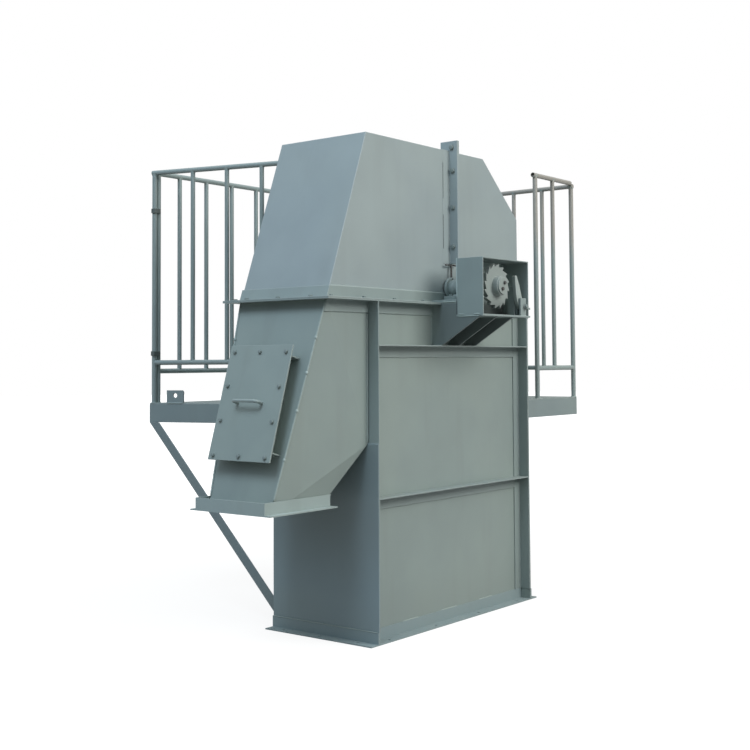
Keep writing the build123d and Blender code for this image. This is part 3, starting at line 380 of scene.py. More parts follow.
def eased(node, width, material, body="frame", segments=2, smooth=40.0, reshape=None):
    """Copy of a CAD node with merged points, flat faces joined and sharp edges rounded by width."""
    mesh = NODES[node].data.copy()
    mesh.name = node + "_eased"
    work = bmesh.new()
    work.from_mesh(mesh)
    bmesh.ops.remove_doubles(work, verts=work.verts, dist=2e-6)
    if reshape:
        moved = reshape(np.array([vert.co for vert in work.verts]))
        for vert, point in zip(work.verts, moved):
            vert.co = point
    bmesh.ops.dissolve_limit(work, angle_limit=math.radians(0.6), verts=work.verts, edges=work.edges)
    layer = work.faces.layers.float.new("edge")
    sharp = [edge for edge in work.edges
             if len(edge.link_faces) == 2 and abs(edge.calc_face_angle(0.0)) > math.radians(28)]
    made = bmesh.ops.bevel(work, geom=sharp, offset=width, offset_type="OFFSET", segments=segments,
                           profile=0.5, affect="EDGES", clamp_overlap=True, loop_slide=True)
    for face in made["faces"]:
        if face.is_valid:
            face[layer] = 1.0
    for edge in work.edges:
        edge.smooth = len(edge.link_faces) == 2 and abs(edge.calc_face_angle(0.0)) < math.radians(smooth)
    for face in work.faces:
        face.smooth = True
    work.to_mesh(mesh)
    work.free()
    weighted(mesh)
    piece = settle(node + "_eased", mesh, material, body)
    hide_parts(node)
    return piece


def weighted(mesh):
    """Corner normals leaning on the large faces, so that flat plates stay flat between eased edges."""
    work = bmesh.new()
    work.from_mesh(mesh)
    work.faces.ensure_lookup_table()
    work.verts.ensure_lookup_table()
    normals = []
    for face in work.faces:
        if face.calc_area() > 4e-5:
            normals += [tuple(face.normal)] * len(face.loops)
            continue
        for loop in face.loops:
            total = Vector((0, 0, 0))
            for other in loop.vert.link_faces:
                if other.normal.dot(face.normal) > 0.2:
                    total += other.normal * other.calc_area()
            normals.append(tuple((total if total.length > 0 else face.normal).normalized()))
    work.free()
    mesh.normals_split_custom_set(normals)


def group_coat():
    """Paint coat: colour in patches, grime in streaks and low down, dust on faces turned up, paler edges,
    orange peel and plate waves.
    """
    tree = bpy.data.node_groups.new("paint_coat", "ShaderNodeTree")
    face = tree.interface
    for name, kind, value in (("Colour", "NodeSocketColor", (0.26, 0.32, 0.29, 1)),
                              ("Patchiness", "NodeSocketFloat", 0.5), ("Grime", "NodeSocketFloat", 0.5),
                              ("Waves", "NodeSocketFloat", 1.0), ("Roughness", "NodeSocketFloat", 0.5)):
        socket = face.new_socket(name=name, in_out="INPUT", socket_type=kind)
        socket.default_value = value
    for name, kind in (("Colour", "NodeSocketColor"), ("Roughness", "NodeSocketFloat"),
                       ("Height", "NodeSocketFloat")):
        face.new_socket(name=name, in_out="OUTPUT", socket_type=kind)
    make = Maker(tree)
    given = make.node("NodeGroupInput")
    out = make.node("NodeGroupOutput")
    place = make.node("ShaderNodeTexCoord").outputs["Object"]
    broad = make.noise(place, 1.7, 3, 0.55)
    cloud = make.noise(place, 7.0, 4, 0.6)
    runs = make.noise(make.scaled(place, (9.0, 9.0, 1.1)), 1.0, 3, 0.5)
    peel = make.noise(place, 900.0, 2, 0.5)
    fine = make.noise(place, 55.0, 3, 0.6)
    wave = make.noise(make.scaled(place, (1.0, 1.0, 0.8)), 3.1, 2, 0.4)
    # patches lighten and darken by up to a tenth, and lean to green or blue
    mixed = make.add(make.mul(make.sub(broad, 0.5), 1.1), make.mul(make.sub(cloud, 0.5), 0.55))
    level = make.add(1.0, make.mul(mixed, make.mul(given.outputs["Patchiness"], 0.42)))
    shaded = make.tint(given.outputs["Colour"], level)
    lean = make.curve(broad, 0.38, 0.62)
    greener = make.mix(shaded, (0.285, 0.325, 0.27, 1),
                       make.mul(make.mul(lean, given.outputs["Patchiness"]), 0.28))
    # grime: streaks, and a band near the floor
    height = make.split(place).outputs["Z"]
    near_floor = make.curve(height, 0.28, 0.0)
    streak = make.curve(runs, 0.52, 0.72)
    dirt = make.mul(given.outputs["Grime"], make.add(make.mul(streak, 0.20),
                                                     make.mul(near_floor, make.mul(cloud, 0.55))))
    soiled = make.mix(greener, (0.155, 0.165, 0.140, 1), dirt)
    # pale dust that lies on faces turned up
    facing = make.split(make.node("ShaderNodeNewGeometry").outputs["Normal"]).outputs["Z"]
    dust = make.mul(make.mul(make.curve(facing, 0.55, 0.98), make.curve(cloud, 0.35, 0.7)),
                    make.mul(given.outputs["Grime"], 0.35))
    dusty = make.mix(soiled, (0.42, 0.42, 0.38, 1), dust)
    # edges: thin, paler coat with a few chips
    edge = make.node("ShaderNodeAttribute")
    edge.attribute_name = "edge"
    chips = make.curve(fine, 0.60, 0.66)
    worn = make.mul(edge.outputs["Fac"], make.add(0.22, make.mul(chips, 0.45)))
    thin = make.mix(dusty, (0.40, 0.44, 0.43, 1), worn)
    make.link(thin, out.inputs["Colour"])
    rough = make.add(given.outputs["Roughness"], make.add(make.mul(make.sub(cloud, 0.5), 0.16),
                                                          make.mul(dust, 0.35)))
    make.link(rough, out.inputs["Roughness"])
    height_sum = make.add(make.mul(make.mul(wave, given.outputs["Waves"]), 0.012),
                          make.add(make.mul(peel, 0.00006), make.mul(fine, 0.00012)))
    make.link(height_sum, out.inputs["Height"])
    return tree


class Maker:
    """Short calls that add nodes to one tree and join them."""

    def __init__(self, tree):
        self.tree = tree

    def node(self, kind, **values):
        node = self.tree.nodes.new(kind)
        for socket, value in values.items():
            node.inputs[socket].default_value = value
        return node

    def link(self, source, target):
        if isinstance(source, (int, float, tuple)):
            target.default_value = source
        else:
            self.tree.links.new(source, target)

    def maths(self, operation, first, second):
        node = self.node("ShaderNodeMath")
        node.operation = operation
        self.link(first, node.inputs[0])
        self.link(second, node.inputs[1])
        return node.outputs[0]

    def add(self, first, second):
        return self.maths("ADD", first, second)

    def sub(self, first, second):
        return self.maths("SUBTRACT", first, second)

    def mul(self, first, second):
        return self.maths("MULTIPLY", first, second)

    def noise(self, place, scale, detail, rough):
        node = self.node("ShaderNodeTexNoise", Scale=scale, Detail=detail, Roughness=rough)
        self.link(place, node.inputs["Vector"])
        return node.outputs["Fac"]

    def scaled(self, place, size):
        node = self.node("ShaderNodeMapping", Scale=size)
        self.link(place, node.inputs["Vector"])
        return node.outputs["Vector"]

    def split(self, vector):
        node = self.node("ShaderNodeSeparateXYZ")
        self.link(vector, node.inputs[0])
        return node

    def curve(self, value, low, high):
        node = self.node("ShaderNodeMapRange")
        node.interpolation_type = "SMOOTHSTEP"
        ends = (0.0, 1.0) if low < high else (1.0, 0.0)
        for socket, given in (("Value", value), ("From Min", min(low, high)), ("From Max", max(low, high)),
                              ("To Min", ends[0]), ("To Max", ends[1])):
            self.link(given, node.inputs[socket])
        return node.outputs["Result"]

    def mix(self, first, second, factor):
        node = self.node("ShaderNodeMix")
        node.data_type = "RGBA"
        self.link(factor, node.inputs["Factor"])
        self.link(first, node.inputs[6])
        self.link(second, node.inputs[7])
        return node.outputs[2]

    def tint(self, colour, level):
        node = self.node("ShaderNodeVectorMath")
        node.operation = "SCALE"
        self.link(colour, node.inputs[0])
        self.link(level, node.inputs["Scale"])
        return node.outputs[0]

    def bump(self, height, distance):
        node = self.node("ShaderNodeBump", Strength=1.0, Distance=distance)
        self.link(height, node.inputs["Height"])
        return node.outputs["Normal"]


def shade_of(colour, share):
    """A colour times a share."""
    return tuple(value * share for value in colour)


def blank(name):
    """A new material with its shader and a maker for its tree."""
    material = bpy.data.materials.new(name)
    material.use_nodes = True
    return material, material.node_tree.nodes["Principled BSDF"], Maker(material.node_tree)


def painted(name, colour, patch, grime, waves, rough, second=None):
    """A painted finish of the coat group; second is (colour, (axis, low, high), ...), another shade."""
    material, shader, make = blank(name)
    coat = make.node("ShaderNodeGroup")
    coat.node_tree = bpy.data.node_groups["paint_coat"]
    for socket, value in zip(coat.inputs, ((*colour, 1), patch, grime, waves, rough)):
        socket.default_value = value
    shown = coat.outputs["Colour"]
    if second:
        place = make.split(make.node("ShaderNodeTexCoord").outputs["Object"])
        mask = 1.0
        for axis, low, high in second[1:]:
            mask = make.mul(mask, make.curve(place.outputs[axis], low, high))
        shown = make.mix(shown, (*second[0], 1), mask)
    make.link(shown, shader.inputs["Base Color"])
    make.link(coat.outputs["Roughness"], shader.inputs["Roughness"])
    make.link(make.bump(coat.outputs["Height"], 1.0), shader.inputs["Normal"])
    shader.inputs["Specular IOR Level"].default_value = 0.42
    return material


def bare(name, colour, rough):
    """Turned steel: fine rings round the piece in the height, and a film of dark grease in patches."""
    material, shader, make = blank(name)
    place = make.node("ShaderNodeTexCoord").outputs["Object"]
    rings = make.noise(make.scaled(place, (30.0, 2200.0, 30.0)), 1.0, 2, 0.5)
    film = make.noise(place, 26.0, 4, 0.6)
    dark = make.curve(film, 0.45, 0.7)
    make.link(make.mix((*colour, 1), (0.06, 0.05, 0.04, 1), make.mul(dark, 0.7)), shader.inputs["Base Color"])
    make.link(make.add(rough, make.mul(dark, 0.2)), shader.inputs["Roughness"])
    make.link(make.sub(1.0, make.mul(dark, 0.6)), shader.inputs["Metallic"])
    make.link(make.bump(make.mul(rings, 0.00003), 1.0), shader.inputs["Normal"])
    return material


PLATES = {
    "coat": ("wide_walls", "wall_rear", "chute_front", "chute_floor", "chute_sides",
             "inspection_door"),
    "hood": ("hood_front_half", "hood_rear_half"),
    "section": ("corner_angles", "wall_stiffeners", "casing_top_flange", "hood_flange", "platform_deck"),
    "foot": ("base_flange",),
    "channel": ("channel_back", "channel_end", "channel_near", "channel_right", "wall_channels",
                "lifting_lug"),
    "brace": ("back_braces", "side_brace"),
    "bracket": ("backstop_shelf", "backstop_guard", "pawl_lug"),
    "collar": ("outlet_flange",),
    "box": ("backstop_back",),
    "front": ("wall_front",),
    "under": ("bearing_brackets",),
}
WIDER = ("hood_front_half", "hood_rear_half", "chute_sides")


class ELEVATOR_OT_finishes(bpy.types.Operator):
    """Makes the paint and steel finishes."""

    bl_idname = "elevator.finishes"
    bl_label = "Make finishes"

    def execute(self, context):
        paint = context.scene.elevator_paint
        group_coat()
        rough = paint.roughness
        painted("coat", paint.coat, 0.55, 0.5, 1.0, rough)
        # hood plates and joint flanges: the paler, bluer hood coat is painted sky light
        painted("hood_coat", paint.hood, 0.5, 0.3, 1.2, rough)
        painted("section_coat", paint.frame_coat, 0.45, 0.5, 0.3, rough - 0.04)
        painted("foot_coat", (0.245, 0.316, 0.326), 0.45, 0.3, 0.3, rough)
        painted("channel_coat", (0.216, 0.268, 0.268), 0.45, 0.5, 0.3, rough)
        painted("brace_coat", (0.175, 0.222, 0.228), 0.45, 0.5, 0.3, rough)
        painted("bracket_coat", paint.frame_coat, 0.45, 0.6, 0.3, rough)
        painted("rail_coat", paint.frame_coat, 0.35, 0.4, 0.2, rough - 0.1,
                ((0.315, 0.303, 0.268), ("Z", 1.60, 1.80), ("X", 0.60, 0.75)))
        painted("collar_coat", shade_of(paint.frame_coat, 1.25), 0.5, 0.5, 0.3, rough)
        # near-black coat: painted shade for the shadow dashes at the hood joint and the tabs between the
        # corner posts
        painted("painted_shade_coat", shade_of(paint.coat, 0.35), 0.5, 0.5, 0.0, rough)
        # back plate of the backstop box: coat lightened 1.7 times as painted light inside the shaded box, and
        # darker below the wheel as painted shade
        painted("box_coat", shade_of(paint.frame_coat, 1.7), 0.45, 0.6, 0.3, rough,
                (shade_of(paint.frame_coat, 0.22), ("Z", 1.42, 1.36)))
        # bearing brackets: darker below z 1.362 beyond y -0.30 on the near side, painted shade on the
        # undersides
        painted("under_coat", paint.frame_coat, 0.45, 0.6, 0.3, rough,
                (shade_of(paint.frame_coat, 0.55), ("Z", 1.372, 1.362), ("Y", -0.24, -0.30)))
        painted("weld_coat", shade_of(paint.coat, 1.18), 0.4, 0.2, 0.0, rough - 0.04)
        painted("bolt_coat", shade_of(paint.frame_coat, 0.75), 0.5, 0.4, 0.0, rough - 0.06)
        # ratchet wheel: coat darker towards the bottom, below z 1.40
        painted("ratchet_coat", paint.wheel, 0.8, 0.9, 0.0, rough,
                (shade_of(paint.wheel, 0.55), ("Z", 1.405, 1.340)))
        painted("pawl_coat", shade_of(paint.wheel, 1.25), 0.7, 0.7, 0.0, rough)
        # narrow wall under the chute: bluer base as painted blue side light, and darker from z 0.55 upwards
        # as painted shade under the chute
        painted("front_coat", (0.250, 0.322, 0.335), 0.55, 0.5, 1.0, rough,
                ((0.205, 0.258, 0.262), ("Z", 0.15, 0.55)))
        bare("bare_steel", paint.steel, 0.34)
        bare("dark_steel", shade_of(paint.steel, 0.25), 0.45)
        return {"FINISHED"}


class ELEVATOR_OT_plates(bpy.types.Operator):
    """Eases the edges of every plate and section and paints it."""

    bl_idname = "elevator.plates"
    bl_label = "Dress plates"

    def execute(self, context):
        plate = context.scene.elevator_plate
        for kind, nodes in PLATES.items():
            material = "coat" if kind == "coat" else kind + "_coat"
            for node in nodes:
                width = plate.corner if node in WIDER else plate.edge
                eased(node, width, material)

        def thinned(points):
            """Flat legs of the joint: heights from 2 to 10 mm above the hood drop to 1 mm."""
            side, up = np.abs(points[:, 1]), points[:, 2]
            flat = (side > WALL_Y + 0.002) & (side < WALL_Y + 0.010)
            points[flat, 1] = np.sign(points[flat, 1]) * (WALL_Y + 0.001)
            roof = (up > HOOD_TOP + 0.002) & (up < HOOD_TOP + 0.010)
            points[roof, 2] = HOOD_TOP + 0.001
            return points

        for node in ("split_flange_front", "split_flange_rear"):
            eased(node, 0.0006, "hood_coat", reshape=thinned)
        # corner angles carried up to the ring, and the door's neck of four walls
        corners = [slab((min(a, b), min(c, d), RING[0, 2] - 0.0004),
                        (max(a, b), max(c, d), RING[1, 2] - SHEET), 0.0010, 0.0004)
                   for a, b in ((-0.565, -0.560), (0.560, 0.565))
                   for c, d in ((-0.2378, -0.2872), (0.2378, 0.2872))]
        add_piece("corner_tops", join(corners), "section_coat")
        seat = DOOR_MIDDLE - OUT * NECK_DEPTH
        walls = [((-0.192, -0.115), (0.192, -0.110)), ((-0.192, 0.110), (0.192, 0.115)),
                 ((-0.192, -0.155), (-0.187, 0.155)), ((0.187, -0.155), (0.192, 0.155))]
        parts = []
        for low, high in walls:
            points, faces = slab((*low, 0.0), (*high, 0.054), 0.0010, 0.0004)
            parts.append((seat + points[:, :1] * DOWN + points[:, 1:2] * np.array([0.0, 1.0, 0.0])
                          + points[:, 2:] * OUT, faces))
        neck = add_piece("neck_walls", join(parts), "coat")
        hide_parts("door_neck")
        return {"FINISHED"}


class ELEVATOR_OT_head(bpy.types.Operator):
    """Dresses the shaft, pulley, ratchet wheel, end plate and pawl."""

    bl_idname = "elevator.head"
    bl_label = "Dress head shaft"

    def execute(self, context):
        plate = context.scene.elevator_plate
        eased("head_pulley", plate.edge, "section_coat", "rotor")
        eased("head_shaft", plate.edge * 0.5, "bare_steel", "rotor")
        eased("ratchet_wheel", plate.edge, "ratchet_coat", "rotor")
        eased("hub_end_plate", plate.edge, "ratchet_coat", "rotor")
        # fin-shaped pawl: an outline in x and z, carried through its thickness and drawn in at both faces
        outline = np.array([
            (0.1484, 1.4890), (0.1540, 1.4938), (0.1620, 1.4930), (0.1830, 1.4530), (0.1950, 1.4180),
            (0.2070, 1.3880), (0.2165, 1.3670), (0.2178, 1.3570), (0.2135, 1.3478), (0.2040, 1.3442),
            (0.1920, 1.3470), (0.1760, 1.3620), (0.1630, 1.3850), (0.1560, 1.4100), (0.1510, 1.4520)])
        middle = outline.mean(axis=0)
        near, far = (PAWL[side, 1] for side in (0, 1))
        rows = [(0.955, near), (1.0, near + 0.001), (1.0, far - 0.001), (0.955, far)]
        grown = [(middle + (outline - middle) * grow, np.full(len(outline), y)) for grow, y in rows]
        rings = np.array([np.column_stack([flat[:, 0], depth, flat[:, 1]]) for flat, depth in grown])
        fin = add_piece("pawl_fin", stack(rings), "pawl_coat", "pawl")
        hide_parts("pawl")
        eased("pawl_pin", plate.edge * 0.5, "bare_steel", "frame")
        front = END_PLATE[0, 1]
        lean = math.radians(58)
        gap = 0.0155
        places = [(s * gap * math.cos(lean), front, SHAFT_Z + s * gap * math.sin(lean)) for s in (-1, 1)]
        heads = copies(bolt(0.008, 0.013), places, (0, -1, 0), (0.3, 0.9))
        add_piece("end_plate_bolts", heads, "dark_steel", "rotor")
        centre = (PIN[0] + PIN[1]) / 2
        head = copies(bolt(0.012, 0.019), (centre[0], PIN[0, 1], centre[2]), (0, -1, 0), 0.4)
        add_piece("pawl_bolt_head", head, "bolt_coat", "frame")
        return {"FINISHED"}


class ELEVATOR_OT_bearings(bpy.types.Operator):
    """Turns the bearing housings on their cast feet, with threaded greasers on top."""

    bl_idname = "elevator.bearings"
    bl_label = "Make bearings"

    def execute(self, context):
        front, back = BEARINGS[0, 1], -WALL_Y - 0.01
        disc = BEARINGS[1, 2] - SHAFT_Z
        ball = disc - 0.011
        bore = 0.0302
        # disc against the wall, waist, then a ball-like body that closes in towards the shaft
        body = [(bore, 0.0), (disc - 0.0015, 0.0), (disc, 0.0015), (disc, 0.0100), (disc - 0.0020, 0.0120),
                (0.0345, 0.0124), (0.0345, 0.0140), (ball - 0.0002, 0.0180), (ball + 0.0018, 0.0230),
                (ball + 0.0026, 0.0290), (ball + 0.0012, 0.0350), (ball - 0.0016, 0.0405), (0.0318, 0.0445),
                (0.0318, 0.0520), (0.0328, 0.0528), (0.0328, 0.0690), (0.0320, 0.0700), (bore, 0.0700)]
        rings = spun(body, 40)
        housing = stack(np.concatenate([rings, rings[:1]]), capped=False)
        low = BRACKETS[1, 2]
        foot_top = low + 0.020
        wide = BEARINGS[1, 0]
        middle = -(front + back) / 2
        shapes = []
        for side in (-1, 1):
            near, far = sorted((side * -front, side * -back))
            shapes.append(copies(housing, (0, side * -back, SHAFT_Z), (0, side, 0)))
            shapes.append(slab((-wide, near, low), (wide, far, foot_top), 0.010, 0.0018))
            waist = 0.022
            y = side * middle
            shapes.append(tower([(-0.034, 0.034, near + 0.004, far - 0.004, 0.008, foot_top - 0.001),
                                 (-0.028, 0.028, near + 0.007, far - 0.007, 0.008, foot_top + 0.006),
                                 (-waist, waist, y - 0.024, y + 0.024, 0.007, SHAFT_Z - 0.028)]))
        cast = add_piece("bearing_housings", join(shapes), "bracket_coat", smooth=35)
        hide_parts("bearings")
        stems = []
        for side in (-1, 1):
            y = side * 0.2480
            base = SHAFT_Z + ball
            top = SCREWS[1, 2]
            stem = [(0.0095, base - 0.006), (0.0095, base + 0.001), (0.0080, base + 0.002),
                    (0.0080, base + 0.007), (0.0045, base + 0.008), (0.0040, top - 0.008),
                    (0.0058, top - 0.006), (0.0058, top - 0.001), (0.0040, top + 0.001)]
            stems.append(copies(lathe(stem, 20), (0, y, 0), (0, 0, 1)))
            z = top - 0.0035
            reach = SCREWS[1, 0]
            ends = [(0.0022, -reach - 0.0005), (0.0038, -reach + 0.001), (0.0042, -reach + 0.004),
                    (0.0033, -reach + 0.007), (0.0033, reach - 0.007), (0.0042, reach - 0.004),
                    (0.0038, reach - 0.001), (0.0022, reach + 0.0005)]
            stems.append(copies(lathe(ends, 16), (0, y, z), (1, 0, 0)))
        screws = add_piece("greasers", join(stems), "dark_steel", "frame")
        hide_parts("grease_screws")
        places = [(sx * 0.046, sy * middle, foot_top) for sx in (-1, 1) for sy in (-1, 1)]
        heads = copies(bolt(0.010, 0.016), places, (0, 0, 1), (0.2, 0.7, 1.1, 0.4))
        add_piece("bearing_bolts", heads, "bolt_coat")
        return {"FINISHED"}


class ELEVATOR_OT_bolts(bpy.types.Operator):
    """Sets the bolts of the flange ring, the hood's joint and the door."""

    bl_idname = "elevator.bolts"
    bl_label = "Set bolts"

    def execute(self, context):
        size = context.scene.elevator_bolt
        finish = "bolt_coat"
        rng = np.random.default_rng(7)
        line = WALL_Y + 0.0275
        pitch = 0.1985
        first = RING[0, 0] + 0.047
        columns = [first + pitch * k for k in range(8)]
        columns = [x for x in columns if abs(x) > 0.145 and x < RING[1, 0] - 0.03]
        places = [(x, s * line, HOOD_RING[0, 2] + SHEET) for x in columns for s in (-1, 1)]
        ends = [(x, y, HOOD_RING[0, 2] + SHEET) for x in (RING[0, 0] + 0.0235, RING[1, 0] - 0.0235)
                for y in (-0.174, 0.0, 0.174)]
        ring = np.array(places + ends)
        heads = copies(bolt(size.ring_thread, size.ring_flats), ring, (0, 0, 1),
                       rng.uniform(0, 1.0, len(ring)))
        add_piece("ring_bolts", heads, finish)
        leg = JOINT_FRONT[1, 0] - 0.008
        joint = [(leg, s * 0.2515, z) for s in (-1, 1) for z in (1.625, 1.800, 1.964)]
        joint += [(leg, s * 0.247, 2.068) for s in (-1, 1)]
        heads = copies(bolt(size.thread, size.flats, 0.016), joint, (-1, 0, 0),
                       rng.uniform(0, 1.0, len(joint)))
        add_piece("joint_bolts", heads, finish)
        centre = DOOR_MIDDLE + OUT * 0.003
        rows = ((-0.202, (-0.138, 0.0, 0.138)), (-0.064, (-0.138, 0.138)),
                (0.074, (-0.138, 0.138)), (0.212, (-0.138, 0.0, 0.138)))
        places = [centre + DOWN * drop + np.array([0, y, 0]) for drop, columns in rows for y in columns]
        heads = copies(bolt(size.small_thread, 0.014), places, OUT, rng.uniform(0, 1.0, len(places)))
        add_piece("door_bolts", heads, finish)
        return {"FINISHED"}


class ELEVATOR_OT_door_handle(bpy.types.Operator):
    """Bends the door's rod handle with its two feet."""

    bl_idname = "elevator.door_handle"
    bl_label = "Bend door handle"

    def execute(self, context):
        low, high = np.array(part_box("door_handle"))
        radius = 0.0065
        half = (high[1] - low[1]) / 2 - 0.003
        centre = DOOR_MIDDLE + OUT * 0.003 + DOWN * 0.003
        rise, bend = 0.034, 0.014
        turn = np.linspace(0, np.pi / 2, 9)
        left = np.stack([-half + bend - bend * np.cos(turn), rise - bend + bend * np.sin(turn)], axis=-1)
        right = np.stack([-left[::-1, 0], left[::-1, 1]], axis=-1)
        line = np.concatenate([[[-half, -0.001]], left, right, [[half, -0.001]]])
        along = np.gradient(line, axis=0)
        along /= np.linalg.norm(along, axis=1, keepdims=True)
        across = np.stack([-along[:, 1], along[:, 0]], axis=-1)
        angle = np.arange(16) * (np.pi / 8)
        side = np.array([0.0, 1.0, 0.0])
        centre_line = centre + line[:, :1] * side + line[:, 1:] * OUT
        bent = across[:, :1] * side + across[:, 1:] * OUT
        rings = (centre_line[:, None] + radius * np.cos(angle)[None, :, None] * bent[:, None]
                 + radius * np.sin(angle)[None, :, None] * DOWN)
        piece = add_piece("rod_handle", stack(rings), "rail_coat")
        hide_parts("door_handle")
        return {"FINISHED"}


class ELEVATOR_OT_railings(bpy.types.Operator):
    """Builds the four railing panels from round pipe and bar, with a bead round every joint."""

    bl_idname = "elevator.railings"
    bl_label = "Build railings"

    def execute(self, context):
        rail = context.scene.elevator_rail
        half, bar = rail.pipe / 2, rail.bar
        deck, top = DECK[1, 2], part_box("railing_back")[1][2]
        beads = []

        def panel(node, start, run, length, low, bars, posts, overrun=0.0, lift=0.0):
            """Rails along a run, posts at the given distances, bars between, each joint with its bead."""
            start, run = np.asarray(start, float), np.asarray(run, float)
            high = top - half + lift

            def at(along, z):
                return np.array([*(start + run * along)[:2], z])

            bore = half - rail.wall if overrun else None
            shapes = [pipe(at(-overrun, high), at(length, high), half, 24, bore)]
            ends = (posts[0], posts[1] if len(posts) > 1 else length)
            shapes.append(pipe(at(ends[0], low), at(ends[1], low), half))
            for along in posts:
                shapes.append(pipe(at(along, deck), at(along, high), half))
                beads.append(collar(at(along, high), run, -1, half * 0.98, half, 0.0024,
                                    int(along * 997) % 89))
                beads.append(collar(at(along, deck), run, 1, half, 0.0, 0.0034, int(along * 991) % 83))
            for along in bars:
                shapes.append(pipe(at(along, low), at(along, high), bar, 16))
                beads.append(collar(at(along, high), run, -1, bar, half, 0.0021, int(along * 1009) % 97))
                beads.append(collar(at(along, low), run, 1, bar, half, 0.0021, int(along * 1013) % 101))
            piece = add_piece(node + "_panel", join(shapes), "rail_coat")
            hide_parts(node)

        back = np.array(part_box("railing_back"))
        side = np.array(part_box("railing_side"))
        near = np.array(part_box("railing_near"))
        low = deck + 0.150
        x, y = back[0, 0], back[1, 1] - half
        length = back[1, 0] - x
        panel("railing_back", (x, y, 0), (1, 0, 0), length, low,
              [half + 0.134 + 0.175 * k for k in range(9)], (half, length - half))
        x, y = side[1, 0] - half, side[0, 1]
        length = side[1, 1] - y
        panel("railing_side", (x, y, 0), (0, 1, 0), length, low,
              [half + 0.175 * (k + 1) for k in range(7)], (half, length - half))
        start = CORNER + END_RUN * 2 * half * math.tan(SKEW) + END_IN * half
        panel("railing_end", start, END_RUN, 0.785, deck + 0.190,
              [half + 0.212 + 0.184 * k for k in range(3)], (half, 0.785 - half))
        overrun = 0.010
        x, y = near[0, 0] + overrun, near[0, 1] + half
        length = near[1, 0] - x
        panel("railing_near", (x, y, 0), (1, 0, 0), length, low, [length / 2], (half,), overrun, 0.016)
        # tabs that hold the two corner posts together, near black as painted shade between the posts
        tabs = [slab((-0.540, 1.088, z - 0.011), (-0.499, 1.113, z + 0.011), 0.004, 0.0015)
                for z in (1.167, 1.844)]
        add_piece("post_tabs", join(tabs), "painted_shade_coat")
        add_piece("railing_welds", join(beads), "weld_coat", smooth=60)
        return {"FINISHED"}


